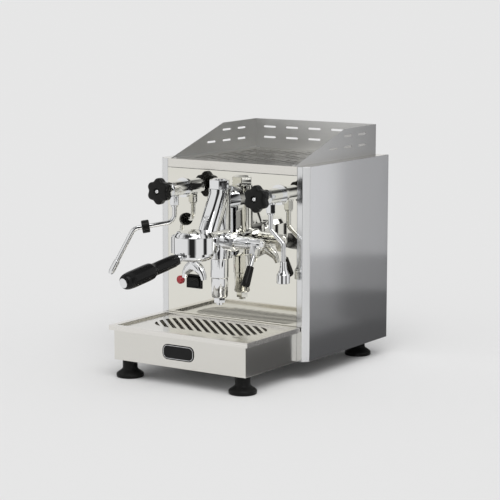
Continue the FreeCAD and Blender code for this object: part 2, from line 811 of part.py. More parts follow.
def cup_tray():
    """Removable top with a front lip and rows of warming slots."""
    body = new_body("tray_plate")
    sketch = plane_sketch(body, "XY", "tray_outline", f"{case_top} - plate")
    front_x = f"({panel_half} - 0.1)"
    inset = "(sheet + tray_gap)"
    slant = "(sheet + tray_gap) * tan(22.5)"
    right = [
        (front_x, "0"),
        (front_x, inset),
        (f"{case_half} - chamfer - {slant}", inset),
        (f"{case_half} - {inset}", f"chamfer + {slant}"),
        (f"{case_half} - {inset}", f"body_depth - {inset}"),
    ]
    left = [(f"-({x})", y) for x, y in reversed(right)]
    outline(sketch, right + left)
    pad(body, sketch, "plate")
    slot_sketch = plane_sketch(body, "XY", "warming_slot", case_top)
    for row in range(3):
        rectangle(slot_sketch, "-warm_reach", f"warm_start + {row} * warm_pitch", "warm_slot", "warm_length")
    slots = pocket(body, slot_sketch, "4 * plate", both=True)
    row_of(body, slots, slot_sketch, "H_Axis", "2 * warm_reach", 13)
    lip = block("tray_lip", (f"-{front_x}", front_x), ("0", "sheet"), (lip_bottom, f"{case_top} - plate / 2"))
    piece(fuse("cup_tray", [body, lip]))


def cup_rail():
    """Bent guard rail: two sloping sides and a back, with rows of slots."""
    side = new_body("rail_right")
    shape = plane_sketch(side, "YZ", "rail_side", "rail_x - sheet")
    outline(shape, [
        ("sheet", case_top),
        ("rail_back", case_top),
        ("rail_back", f"{case_top} + rail_level"),
        ("rail_kink", f"{case_top} + rail_rise"),
    ])
    pad(side, shape, "sheet")
    slots = plane_sketch(side, "YZ", "rail_slots", "rail_x - sheet")
    for level, count in (("rail_low_slot", 3), ("rail_high_slot", 2)):
        for n in range(count):
            level_slot(slots, f"rail_last_slot - {n} * rail_slot_pitch", f"{case_top} + {level}",
                       "rail_slot", "rail_slot_height")
    pocket(side, slots, "4 * sheet", both=True)
    back = new_body("rail_back_wall")
    wall = plane_sketch(back, "XZ", "rail_back_face", "-rail_back")
    rectangle(wall, "0", f"{case_top} + rail_level / 2", "2 * rail_x", "rail_level")
    pad(back, wall, "sheet")
    back_slots = plane_sketch(back, "XZ", "rail_back_slots", "-rail_back")
    for level in ("rail_low_slot", "rail_high_slot"):
        level_slot(back_slots, "-2 * rail_slot_pitch", f"{case_top} + {level}", "rail_slot", "rail_slot_height")
    cut_slots = pocket(back, back_slots, "4 * sheet", both=True)
    row_of(back, cut_slots, back_slots, "H_Axis", "4 * rail_slot_pitch", 5)
    feet_strips = [
        block(f"rail_strip_{name}", x, ("6", "rail_back"), (case_top, f"{case_top} + sheet"))
        for name, x in (("right", ("rail_x - 9", "rail_x")), ("left", ("-rail_x", "-(rail_x - 9)")))
    ]
    piece(fuse("cup_rail", [side, mirror("rail_left", side), back, *feet_strips]))


def group():
    """Brewing group: column, leaning nose, necks with flanges, cam boss and bell."""
    y = "-group_y"
    lean = number("nose_lean")
    nose_way = Rotation(Vector(1, 0, 0), 180 - lean)
    nose_top = ("0", y, "nose_top")
    parts = [
        rod("column", "group_radius", "group_top - group_bottom", ("0", y, "group_bottom")),
        rod("nose", "nose_radius", "nose_length", nose_top, nose_way),
        rod("cam_boss", "boss_radius", "boss_end", ("0", y, "cam_z"), "x"),
        rod("bell_outside", "bell_radius", "bell_height", ("0", "-bell_y", "bell_bottom")),
        taper("bell_top", "0.86 * bell_radius", "0.74 * bell_radius", "7",
              ("0", "-bell_y", "bell_bottom + bell_height")),
        block("saddle", ("-saddle_half", "saddle_half"), ("-bell_y", y),
              ("bell_bottom + 8", "bell_bottom + bell_height + 5")),
        block("flange_bridge", ("-0.6 * flange_radius", "0.6 * flange_radius"), ("-flange_plate", "0"),
              ("neck_lower", "neck_upper")),
    ]
    for level in ("neck_upper", "neck_lower"):
        parts += [
            rod(level + "_neck", "neck_radius", "group_y", ("0", y, level), "y"),
            rod(level + "_flange", "flange_radius", "flange_plate", ("0", "-flange_plate", level), "y"),
        ]
    lean_sin, lean_cos = "sin(nose_lean)", "cos(nose_lean)"
    plug_y = f"-group_y - plug_along * {lean_sin} - plug_depth * {lean_cos}"
    plug_z = f"nose_top - plug_along * {lean_cos} + plug_depth * {lean_sin}"
    plug_way = Rotation(Vector(1, 0, 0), 90 - lean)
    low = "(bell_bottom + bell_lip)"
    hollows = [
        rod("bell_hollow", "bell_radius - bell_wall", f"gasket_top - {low}", ("0", "-bell_y", low)),
        rod("bell_mouth", "filter_bowl_radius + bowl_play", "2 * bell_lip", ("0", "-bell_y", "bell_bottom - 1")),
        rod("cam_bore", "cam_radius + running", "boss_end + 9", ("-8", y, "cam_z"), "x"),
        rod("plug_bore", "plug_radius + running", "20", ("0", plug_y, plug_z), plug_way),
    ]
    turned = doc.addObject("Part::Compound", "ear_gap_turned")
    turned.Links = [block("ear_gap_bar", ("-(bell_radius - bell_wall)", "bell_radius - bell_wall"),
                          ("-(ear_half + 2)", "ear_half + 2"), ("-1", "bell_lip + 0.1"))]
    place(turned, ("0", "-bell_y", "bell_bottom"), Rotation(Vector(0, 0, 1), -number("rest_turn + unlock_turn")))
    hollows.append(turned)
    for side in ("-", ""):
        for level in ("neck_upper", "neck_lower"):
            hollows.append(rod("bolt_hole", "bolt_radius + running", "flange_plate",
                               (f"{side}bolt_x", "-(flange_plate - 1)", level), "y"))
    piece(cut("group_body", fuse("group_casting", parts), hollows))

    cap = hexagon("cap_hex", "cap_radius", "cap_height", ("0", y, "group_top"))
    piece(fuse("group_cap", [cap, taper("cap_crown", "0.8 * cap_radius", "0.55 * cap_radius", "2.5",
                                       ("0", y, "group_top + cap_height"))]))
    plug = rod("plug_shank", "plug_radius", "nose_radius + plug_proud - plug_depth", ("0", plug_y, plug_z), plug_way)
    slot_depth = "(nose_radius + plug_proud - plug_depth)"
    head_y = f"({plug_y}) - ({slot_depth} - 1.5) * {lean_cos}"
    head_z = f"({plug_z}) + ({slot_depth} - 1.5) * {lean_sin}"
    socket = rod("plug_socket", "0.5 * plug_radius", "3", ("0", head_y, head_z), plug_way)
    piece(cut("nose_plug", plug, [socket]))
    piece(cut("cam_bushing", fuse("bushing_blank", [
        hexagon("bushing_hex", "1.2 * bushing_radius", "8", ("boss_end", y, "cam_z"), "x"),
        rod("bushing_round", "bushing_radius", "bushing_end - boss_end - 8", ("boss_end + 8", y, "cam_z"), "x"),
    ]), [rod("bushing_bore", "cam_radius + running", "bushing_end", ("boss_end - 1", y, "cam_z"), "x")]))
    piece(lathe("lower_chamber", [
        ("0", "group_bottom"),
        ("0", "chamber_bottom"),
        ("chamber_radius - 3", "chamber_bottom"),
        ("chamber_radius - 1.2", "chamber_bottom + 3"),
        ("chamber_radius - 1.2", "chamber_step"),
        ("chamber_radius", "chamber_step + 1.2"),
        ("chamber_radius", "group_bottom - 6"),
        ("chamber_radius + 2", "group_bottom - 5"),
        ("chamber_radius + 2", "group_bottom"),
    ], ("0", y, "0")))
    piece(fuse("drain_nozzle", [
        hexagon("drain_hex", "drain_radius", "drain_length - 4", ("0", y, "chamber_bottom - drain_length + 4")),
        rod("drain_tip", "0.55 * drain_radius", "drain_length", ("0", y, "chamber_bottom - drain_length")),
    ]))
    gasket = rod("gasket_ring", "bell_radius - bell_wall - running", "gasket_top - gasket_bottom",
                 ("0", "-bell_y", "gasket_bottom"))
    piece(cut("group_gasket", gasket, [rod("gasket_bore", "screen_radius + running", "30",
                                           ("0", "-bell_y", "gasket_bottom - 5"))]))
    screen = rod("screen_disc", "screen_radius", "2", ("0", "-bell_y", "gasket_bottom + 1.5"))
    screw = rod("screen_screw", "4", "gasket_top - gasket_bottom - 3.5", ("0", "-bell_y", "gasket_bottom + 3.5"))
    piece(fuse("shower_screen", [screen, screw]))


def lever():
    """Cam shaft, forged arm and grip, turning about the cam's axis."""
    y = "-group_y"
    lean = Rotation(Vector(1, 0, 0), -number("lever_lean"))
    hanging = lean.multiply(along["-z"])
    at = ("lever_x", y, "cam_z")
    shaft = rod("shaft", "cam_radius", "lever_x + 8", ("-7", y, "cam_z"), "x")
    piece(shaft)
    shaft.Label = "cam_shaft"
    hub_start = "(bushing_end + 0.3)"
    hub = rod("hub", "hub_radius", f"hub_end - {hub_start}", (hub_start, y, "cam_z"), "x")
    nut = taper("dome_nut", "0.75 * hub_radius", "0.4 * hub_radius", "3.5", ("hub_end", y, "cam_z"), "x")
    head = doc.addObject("Part::Box", "arm_head")
    for side, size in (("Length", "arm_thickness"), ("Width", "arm_width"), ("Height", "arm_head_length")):
        head.setExpression(side, formula(size))
    head.Placement = Placement(Vector(-number("arm_thickness") / 2, -number("arm_width") / 2, 0), Rotation())
    leaned = group_of("arm_head_leaned", [head])
    place(leaned, at, hanging)
    arm = rod("arm_rod", "arm_radius", "lever_grip_start + 6", at, hanging)
    solid = fuse("arm_solid", [hub, nut, leaned, arm])
    piece(cut("lever_arm", solid, [rod("shaft_seat", "cam_radius", "lever_x + 1 - bushing_end",
                                                   ("bushing_end", y, "cam_z"), "x")]))
    grip = lathe("lever_grip", [
        ("0", "lever_grip_start + 6"),
        ("arm_radius", "lever_grip_start + 6"),
        ("arm_radius", "lever_grip_start"),
        ("grip_radius - 1.5", "lever_grip_start"),
        ("grip_radius", "lever_grip_end - 5"),
        ("grip_radius - 5", "lever_grip_end", "-5"),
        ("0", "lever_grip_end"),
    ], at, hanging)
    piece(grip)


def portafilter():
    """Filter holder with bayonet ears, its spout, basket, handle and end cap.
    It is drawn with the handle towards the front, then turned to its locked place."""
    turn = Rotation(Vector(0, 0, 1), -number("rest_turn"))
    spot = ("0", "-bell_y", "0")
    floor = "filter_bowl_bottom"
    wall = "filter_bowl_wall"
    bowl = lathe("bowl", [
        ("0", floor),
        ("filter_bowl_radius - bowl_round", floor),
        ("filter_bowl_radius", f"{floor} + bowl_round", "-bowl_round"),
        ("filter_bowl_radius", "filter_rim"),
        (f"filter_bowl_radius - {wall}", "filter_rim"),
        (f"filter_bowl_radius - {wall}", f"{floor} + 2.2 * {wall}"),
        (f"filter_bowl_radius - {wall} - 7", f"{floor} + {wall}"),
        ("0", f"{floor} + {wall}"),
    ], ("0", "0", "0"))
    ear_bar = block("ear_bar", ("-ear_reach", "ear_reach"), ("-ear_half", "ear_half"),
                    ("bell_bottom + bell_lip + 0.2", "bell_bottom + bell_lip + 0.2 + ear_thickness"))
    ear_ring = rod("ear_ring", "ear_reach", "filter_rim", ("0", "0", "0"))
    ears = doc.addObject("Part::Common", "ears_solid")
    ears.Base = ear_bar
    ears.Tool = ear_ring
    ears_open = cut("ears", ears, [rod("ear_bore", f"filter_bowl_radius - {wall}", "40",
                                       ("0", "0", f"{floor} + 2.2 * {wall}"))])
    droop = Rotation(Vector(1, 0, 0), 90 + number("handle_droop"))
    neck_y, neck_z = "-neck_start", "neck_level"
    neck_run = "((handle_start - neck_start) / cos(handle_droop))"
    neck = taper("neck", "neck_radius_bowl", "neck_radius_bowl - 0.4", neck_run, ("0", neck_y, neck_z), droop)
    collar_y = "-(handle_start - 3)"
    collar_z = "neck_level - (handle_start - 3 - neck_start) * tan(handle_droop)"
    collar = rod("neck_collar", "handle_slim + 0.6", "3 / cos(handle_droop)", ("0", collar_y, collar_z), droop)
    boss = rod("spout_boss", "9", "8", ("0", "0", f"{floor} - 7"))
    holder = fuse("holder", [bowl, ears_open, neck, collar, boss])
    placed = cut("portafilter_body", holder, [rod("outlet", "3", "20", ("0", "0", f"{floor} - 8")),
                                              rod("bowl_clear", f"filter_bowl_radius - {wall}", "20",
                                                  ("0", "0", f"{floor} + 2.2 * {wall}"))])
    piece(place(placed, spot, turn))

    grip_y = "-handle_start"
    grip_z = "neck_level - (handle_start - neck_start) * tan(handle_droop)"
    run = "((handle_end - handle_start) / cos(handle_droop))"
    grip = lathe("handle_turned", [
        ("0", "0"),
        ("handle_slim", "0"),
        ("handle_slim + 1.5", f"0.14 * {run}"),
        ("handle_slim + 0.3", f"0.32 * {run}"),
        ("handle_thick", f"0.72 * {run}", "-160"),
        ("handle_thick - 1.5", f"{run} - 6", "-70"),
        ("handle_thick - 5.5", run, "-6"),
        ("handle_cap_radius + running", run),
        ("handle_cap_radius + running", f"{run} - 2"),
        ("0", f"{run} - 2"),
    ], ("0", grip_y, grip_z), droop)
    piece(place(group_of("portafilter_handle", [grip]), spot, turn))
    end = f"({run} - 2)"
    cap_y = f"-handle_start - {end} * cos(handle_droop)"
    cap_z = f"{grip_z} - {end} * sin(handle_droop)"
    cap = rod("cap_disc", "handle_cap_radius", "3", ("0", cap_y, cap_z), droop)
    piece(place(group_of("handle_cap", [cap]), spot, turn))

    piece(lathe("filter_basket", [
        ("0", "filter_rim - basket_depth"),
        ("basket_radius - 2", "filter_rim - basket_depth"),
        ("basket_radius", "filter_rim - basket_depth + 3"),
        ("basket_radius", "filter_rim"),
        ("filter_bowl_radius - 0.5", "filter_rim"),
        ("filter_bowl_radius - 0.5", "filter_rim + basket_sheet"),
        ("basket_radius - basket_sheet", "filter_rim + basket_sheet"),
        ("basket_radius - basket_sheet", "filter_rim - basket_depth + 3.3"),
        ("basket_radius - 2.3", "filter_rim - basket_depth + basket_sheet"),
        ("0", "filter_rim - basket_depth + basket_sheet"),
    ], ("0", "-bell_y", "0"), turn))

    start = f"({floor} - 7)"
    arms = []
    for side in ("-", ""):
        arms.append(bent_rod("spout_arm", [
            ("0", "0", f"{start} - 7"),
            (f"{side}0.62 * spout_reach", "0", f"{start} - 9"),
            (f"{side}spout_reach", "0", f"{start} - 15"),
            (f"{side}spout_reach", "0", "spout_bottom"),
        ], "spout_radius", "spout_radius + 2"))
    block_boss = rod("spout_nut", "9", "8", ("0", "0", f"{start} - 8"))
    bores = [rod("spout_bore", "spout_radius - 1.5", "9", (f"{side}spout_reach", "0", "spout_bottom - 1"))
             for side in ("-", "")]
    piece(place(cut("double_spout", fuse("spout_cast", [block_boss, *arms]), bores), spot, turn))


def valve(name, side):
    """Valve body on the front panel, with the boss that its wand hangs from."""
    x = f"{side}valve_x"
    parts = [
        rod(name + "_rose", "valve_radius + 4.5", "3", (x, "-3", "valve_z"), "y"),
        rod(name + "_barrel", "valve_radius", "valve_length", (x, "-valve_length", "valve_z"), "y"),
        hexagon(name + "_bonnet", "0.92 * valve_radius", "9", (x, "-(valve_length + 9)", "valve_z"), "y"),
        rod(name + "_tail", "valve_tail", "12", (x, "0", "valve_z"), "y"),
        hexagon(name + "_lock_nut", "valve_tail + 5", "5", (x, "sheet", "valve_z"), "y"),
        rod(name + "_outlet", "nut_radius - 1", "valve_z - nut_z - nut_height / 2",
            (x, "-nut_y", "nut_z + nut_height / 2")),
    ]
    bore = rod(name + "_bore", "spindle_radius + running", "valve_length",
               (x, "-(valve_length + 10)", "valve_z"), "y")
    piece(cut(name, fuse(name + "_solid", parts), [bore]))


def wand_nuts():
    nuts = []
    for side in ("-", ""):
        at = (f"{side}valve_x", "-nut_y", "nut_z - nut_height / 2")
        name = "left_nut" if side else "right_nut"
        blank = hexagon(name + "_blank", "nut_radius", "nut_height", at)
        bore = rod(name + "_bore", "wand_radius + running", "nut_height - 4", at)
        nuts.append(cut(name, blank, [bore]))
    piece(group_of("wand_nuts", nuts))


def knob(name, side):
    """Six-lobed knob on its spindle."""
    body = new_body(name + "_star")
    core = plane_sketch(body, "XZ", name + "_core", "0")
    circle(core, "0", "0", "knob_radius - 0.9 * lobe_radius")
    pad(body, core, "knob_depth")
    lobe = plane_sketch(body, "XZ", name + "_lobe", "0")
    circle(lobe, "knob_radius - lobe_radius", "0", "lobe_radius")
    lobe_pad = pad(body, lobe, "knob_depth")
    polar(body, lobe_pad, lobe, 6)
    dish = plane_sketch(body, "XZ", name + "_dish", "knob_depth")
    circle(dish, "0", "0", "0.42 * knob_radius")
    pocket(body, dish, "5")
    at = (f"{side}valve_x", "-knob_y", "valve_z")
    place(body, at, Rotation(Vector(0, 1, 0), 30))
    spindle = rod(name + "_spindle", "spindle_radius", "knob_y - valve_length + 4",
                  (at[0], "-(knob_y + 1)", "valve_z"), "y")
    piece(fuse(name, [body, spindle]))


def steam_wand():
    """Swivelling steam pipe with its burn-guard grip."""
    x, y = "-valve_x", "-nut_y"
    top = "(nut_z + nut_height / 2 - 5)"
    outer_x, outer_y, outer_z = "-valve_x - wand_out_x", "-nut_y - wand_out_y", "wand_level - wand_out_drop"
    tip_x, tip_y, tip_z = outer_x + " - wand_leg_x", outer_y + " - wand_leg_y", outer_z + " - wand_leg_drop"
    pipe = bent_rod("steam_pipe_out", [
        (x, y, top),
        (x, y, "wand_level"),
        (outer_x, outer_y, outer_z),
        (tip_x, tip_y, tip_z),
    ], "wand_radius", "15")
    leg = Vector(-number("wand_leg_x"), -number("wand_leg_y"), -number("wand_leg_drop"))
    leg_way = Rotation(Vector(0, 0, 1), leg)
    share = 20 / leg.Length
    sleeve_at = (f"{tip_x} + {share} * wand_leg_x", f"{tip_y} + {share} * wand_leg_y",
                 f"{tip_z} + {share} * wand_leg_drop")
    sleeve = rod("steam_sleeve", "wand_radius + 1.2", "18", sleeve_at, leg_way)
    point = taper("steam_point", "wand_radius + 1.2", "wand_radius - 1", "6", (tip_x, tip_y, tip_z), leg_way)
    collar = rod("steam_collar", "wand_radius + 2", "3", (x, y, "nut_z - nut_height / 2 - 3.3"))
    piece(fuse("steam_wand", [pipe, sleeve, point, collar]))
    run = Vector(-number("wand_out_x"), -number("wand_out_y"), -number("wand_out_drop"))
    run_way = Rotation(Vector(0, 0, 1), run)

    def along_run(part):
        return (f"-valve_x - wand_out_x * {part}", f"-nut_y - wand_out_y * {part}",
                f"wand_level - wand_out_drop * {part}")
    grip_at = along_run("wand_grip_share")
    ring = rod("grip_ring", "wand_grip_radius", "wand_grip_length", grip_at, run_way)
    bore = rod("grip_bore", "wand_radius + running", "3 * wand_grip_length",
               along_run("(wand_grip_share - 0.22)"), run_way)
    piece(cut("steam_wand_grip", ring, [bore]))


def hot_water_wand():
    x, y = "valve_x", "-nut_y"
    outer = "(valve_x + wand_offset)"
    top = "(nut_z + nut_height / 2 - 5)"
    pipe = bent_rod("water_pipe_out", [
        (x, y, top),
        (x, y, "wand_level + 1"),
        (outer, y, "wand_level - 21"),
        (outer, y, "nozzle_top"),
    ], "wand_radius", "9")
    collar = rod("water_collar", "wand_radius + 2", "3", (x, y, "nut_z - nut_height / 2 - 3.3"))
    piece(fuse("hot_water_wand", [pipe, collar]))
    piece(lathe("hot_water_nozzle", [
        ("0", "nozzle_top"),
        ("0", "nozzle_bottom + 6"),
        ("nozzle_radius - 2", "nozzle_bottom + 6"),
        ("nozzle_radius - 2", "nozzle_bottom"),
        ("nozzle_radius", "nozzle_bottom"),
        ("nozzle_radius", "nozzle_bottom + 14"),
        ("wand_radius + 1.6", "nozzle_top - 7", "30"),
        ("wand_radius + 1.6", "nozzle_top"),
    ], (outer, y, "0")))


def switch_and_lamp():
    x, z = "-switch_x", "switch_z"
    half_w, half_h = "switch_width / 2", "switch_height / 2"
    bezel = block("bezel", (f"{x} - {half_w}", f"{x} + {half_w}"), ("-2", "0"),
                  (f"{z} - {half_h}", f"{z} + {half_h}"))
    housing = block("housing", (f"{x} - {half_w} + 2.2", f"{x} + {half_w} - 2.2"), ("0", "18"),
                    (f"{z} - {half_h} + 2.2", f"{z} + {half_h} - 2.2"))
    hollow = block("switch_hollow", (f"{x} - {half_w} + 3.4", f"{x} + {half_w} - 3.4"), ("-3", "16"),
                   (f"{z} - {half_h} + 3.4", f"{z} + {half_h} - 3.4"))
    pins = [rod("rocker_pivot", "1.5", "1.6", (f"{x} + {side}({half_w} - 3.4) - {shift}", "rocker_axis_y", z), "x")
            for side, shift in (("-", "0.2"), ("", "1.4"))]
    piece(fuse("switch_frame", [cut("switch_shell", fuse("switch_solid", [bezel, housing]), [hollow]), *pins]))
    body = new_body("rocker_solid")
    profile = plane_sketch(body, "YZ", "rocker_profile", "0")
    height = "(switch_height / 2 - 3.4 - rocker_play)"
    outline(profile, [
        ("-6.2", f"-{height}"),
        ("-4.6", "0"),
        ("-6.2", height),
        ("1", height),
        ("4.5", "2.5"),
        ("4.5", "-2.5"),
        ("1", f"-{height}"),
    ])
    pad(body, profile, "switch_width - 2 * (3.4 + rocker_play)", both=True)
    pivot = plane_sketch(body, "YZ", "rocker_pivot_hole", "0")
    circle(pivot, "0", "0", "1.5 + running")
    pocket(body, pivot, "2 * switch_width", both=True)
    tilt = Rotation(Vector(1, 0, 0), number("rocker_tilt"))
    piece(place(group_of("rocker", [body]), (x, "rocker_axis_y", z), tilt))
    ring = rod("lamp_ring", "lamp_radius", "2", ("-lamp_x", "-2", z), "y")
    lens = taper("lamp_lens", "lamp_radius - 3", "lamp_radius - 1", "2.5", ("-lamp_x", "-4.5", z), "y")
    tail = rod("lamp_tail_rod", "lamp_tail", "22", ("-lamp_x", "0", z), "y")
    piece(fuse("indicator_lamp", [ring, lens, tail]))


def boiler():
    """Boiler with its bosses, element, heat exchanger, fittings and cradle."""
    turn = along["x"]
    left = "(-boiler_length / 2)"
    shell = lathe("boiler_drum", [
        ("0", "0"),
        ("boiler_radius - 6", "0"),
        ("boiler_radius", "6", "-6"),
        ("boiler_radius", "boiler_length"),
        ("element_hole", "boiler_length"),
        ("element_hole", "boiler_length - boiler_wall"),
        ("boiler_radius - boiler_wall", "boiler_length - boiler_wall"),
        ("boiler_radius - boiler_wall", "6"),
        ("boiler_radius - 6 - boiler_wall / 2", "boiler_wall"),
        ("0", "boiler_wall"),
    ], (left, "boiler_y", "boiler_z"), turn)
    top = "(boiler_z + boiler_radius - 1.5)"
    bosses = [rod("top_boss", "boss_outer", "7.5", (x, "boiler_y", top))
              for x in ("-fitting_x", "-fitting_x / 2", "0", "fitting_x / 2", "fitting_x")]
    bosses.append(rod("bottom_boss", "boss_outer", "7.5", ("-pump_x", "boiler_y", "boiler_z - boiler_radius - 6")))
    bosses.append(rod("front_boss", "boss_outer", "8", ("0", "boiler_y - boiler_radius - 6", "neck_lower"), "y"))
    piece(fuse("boiler_shell", [shell, *bosses]))
    cover = rod("element_cover", "element_hole + 7", "6", ("boiler_length / 2", "boiler_y", "boiler_z"), "x")
    loops = [rod("element_bar", "4", "boiler_length - 30",
                 ("-(boiler_length / 2 - 30)", f"boiler_y {sign} 9", "boiler_z"), "x") for sign in ("-", "+")]
    plug = rod("element_plug", "0.8 * element_hole", "boiler_wall + 8",
               ("boiler_length / 2 - boiler_wall - 8", "boiler_y", "boiler_z"), "x")
    piece(fuse("heating_element", [cover, plug, *loops]))
    piece(rod("heat_exchanger", "exchanger_radius", "boiler_length - 2 * boiler_wall",
              (f"{left} + boiler_wall", "boiler_y", "boiler_z + 32"), "x"))
    saddles = []
    for side in ("-", ""):
        near, far = "cradle_x", "cradle_x + cradle_thickness"
        low, high = (f"-({far})", f"-{near}") if side else (near, far)
        blank = block("saddle_blank", (low, high), ("boiler_y - 40", "boiler_y + 40"), (floor_top, "boiler_z - 30"))
        bed = rod("saddle_bed", "boiler_radius + running", "140", ("-70", "boiler_y", "boiler_z"), "x")
        saddles.append(cut("cradle_saddle", blank, [bed]))
    piece(group_of("boiler_cradle", saddles))
    fitting = "(boiler_z + boiler_radius + 6)"
    piece(fuse("pressure_switch", [
        rod("switch_stem", "5", "10", ("fitting_x / 2", "boiler_y", fitting)),
        block("switch_case", ("fitting_x / 2 - 14", "fitting_x / 2 + 14"), ("boiler_y - 16", "boiler_y + 16"),
              (f"{fitting} + 8", f"{fitting} + 34")),
    ]))
    piece(fuse("safety_valve", [
        hexagon("safety_hex", "9.5", "9", ("-fitting_x / 2", "boiler_y", fitting)),
        rod("safety_tube", "7", "26", ("-fitting_x / 2", "boiler_y", fitting)),
    ]))


def pipes():
    fitting = "(boiler_z + boiler_radius + 6)"
    behind = "(sheet + 0.3)"
    piece(bent_rod("upper_circulation_pipe", [
        ("0", "0", "neck_upper"),
        ("0", "26", "neck_upper"),
        ("0", "58", f"{fitting} + 20"),
        ("0", "boiler_y", f"{fitting} + 20"),
        ("0", "boiler_y", fitting),
    ], "pipe_radius", "9"))
    piece(rod("lower_circulation_pipe", "pipe_radius", "boiler_y - boiler_radius - 6", ("0", "0", "neck_lower"), "y"))
    steam = bent_rod("hot_water_pipe", [
        ("fitting_x", "boiler_y", fitting),
        ("fitting_x", "boiler_y", f"{fitting} + 24"),
        ("valve_x", "44", "valve_z"),
        ("valve_x", "12", "valve_z"),
    ], "pipe_radius", "9")
    piece(steam)
    piece(mirror("steam_pipe", steam))
    piece(bent_rod("feed_pipe", [
        ("-pump_x", "pump_front", "pump_z"),
        ("-pump_x", "pump_front - 22", "pump_z"),
        ("-pump_x", "pump_front - 22", "boiler_z - boiler_radius - 28"),
        ("-pump_x", "boiler_y", "boiler_z - boiler_radius - 28"),
        ("-pump_x", "boiler_y", "boiler_z - boiler_radius - 6"),
    ], "pipe_radius - 1.5", "9"))
    piece(rod("suction_hose", "pipe_radius", "tank_front - 6 - pump_front - pump_length",
              ("-pump_x", "pump_front + pump_length", "pump_z"), "y"))


def water_tank():
    outside = block("tank_outside", ("-tank_half", "tank_half"), ("tank_front", "tank_front + tank_depth"),
                    ("tank_bottom", "tank_bottom + tank_height"))
    spigot = rod("tank_spigot", "pipe_radius + 2", "6 + tank_wall / 2",
                 ("-pump_x", "tank_front - 6", "pump_z"), "y")
    hollow = block("tank_hollow", ("-(tank_half - tank_wall)", "tank_half - tank_wall"),
                   ("tank_front + tank_wall", "tank_front + tank_depth - tank_wall"),
                   ("tank_bottom + tank_wall", "tank_bottom + tank_height + 1"))
    piece(cut("water_tank", fuse("tank_blank", [outside, spigot]), [hollow]))


def pump_and_controls():
    x = "-pump_x"
    middle = "(pump_front + pump_length / 2)"
    piece(fuse("vibration_pump", [
        rod("pump_tube", "10", "pump_length", (x, "pump_front", "pump_z"), "y"),
        block("pump_coil", (f"{x} - 21", f"{x} + 21"), (f"{middle} - 24", f"{middle} + 24"),
              ("pump_z - 20", "pump_z + 20")),
    ]))
    mounts = [block("pump_mount", (f"{x} - 16", f"{x} + 16"), (f"{middle} {place_y}", f"{middle} {place_y} + 12"),
                    (floor_top, "pump_z - 20")) for place_y in ("- 22", "+ 10")]
    piece(group_of("pump_mounts", mounts))
    far, near = "(body_width / 2 - control_inset)", "(body_width / 2 - control_inset - control_width)"
    outside = block("control_outside", (near, far), ("control_front", "control_front + control_depth"),
                    (floor_top, "control_top"))
    inside = block("control_inside", (f"{near} + control_wall", f"{far} - control_wall"),
                   ("control_front + control_wall", "control_front + control_depth - control_wall"),
                   (f"{floor_top} + control_wall", "control_top - control_wall"))
    piece(cut("control_box", outside, [inside]))
    half_w, half_h = "inlet_width / 2", "inlet_height / 2"
    shell = block("inlet_body", (f"inlet_x - {half_w}", f"inlet_x + {half_w}"), ("body_depth - inlet_depth", "body_depth"),
                  (f"inlet_z - {half_h}", f"inlet_z + {half_h}"))
    rim = block("inlet_rim", (f"inlet_x - {half_w} - 2", f"inlet_x + {half_w} + 2"),
                ("body_depth", "body_depth + 2"), (f"inlet_z - {half_h} - 2", f"inlet_z + {half_h} + 2"))
    recess = block("inlet_recess", (f"inlet_x - {half_w} + 2.5", f"inlet_x + {half_w} - 2.5"),
                   ("body_depth - inlet_depth + 1.5", "body_depth + 3"), (f"inlet_z - {half_h} + 2.5", f"inlet_z + {half_h} - 2.5"))
    pins = [rod("inlet_pin", "1.3", "inlet_depth - 3",
                (f"inlet_x {shift}", "body_depth - inlet_depth + 1", f"inlet_z {rise}"), "y")
            for shift, rise in (("- 6", "- 2"), ("+ 0", "+ 3"), ("+ 6", "- 2"))]
    piece(fuse("power_inlet", [cut("inlet_shell", fuse("inlet_solid", [shell, rim]), [recess]), *pins]))


side_panels()
front_panel()
back_panel()
chassis_frame()
feet()
screws()
drip_box()
drip_basin()
drip_grid()
cup_tray()
cup_rail()
group()
lever()
portafilter()
valve("steam_valve_body", "-")
valve("hot_water_valve_body", "")
wand_nuts()
knob("steam_knob", "-")
knob("hot_water_knob", "")
steam_wand()
hot_water_wand()
switch_and_lamp()
boiler()
pipes()
water_tank()
pump_and_controls()
doc.recompute()

for item in doc.Objects:
    failed = {"Invalid", "Error"}.intersection(item.State)
    if failed:
        raise SystemExit(f"{item.Name} did not build: {item.State}")
for item in pieces:
    if item.Shape.isNull() or not item.Shape.isValid() or not item.Shape.Solids:
        raise SystemExit(f"{item.Label} is not a valid solid")

os.makedirs("parts", exist_ok=True)
for item in pieces:
    item.Shape.exportStep(f"parts/{item.Label}.step")
    print(item.Label, len(item.Shape.Solids), round(item.Shape.Volume / 1000, 2))
print(len(pieces), "sub-parts")
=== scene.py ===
import bpy
import bmesh
import json
import math
from mathutils import Matrix, Vector


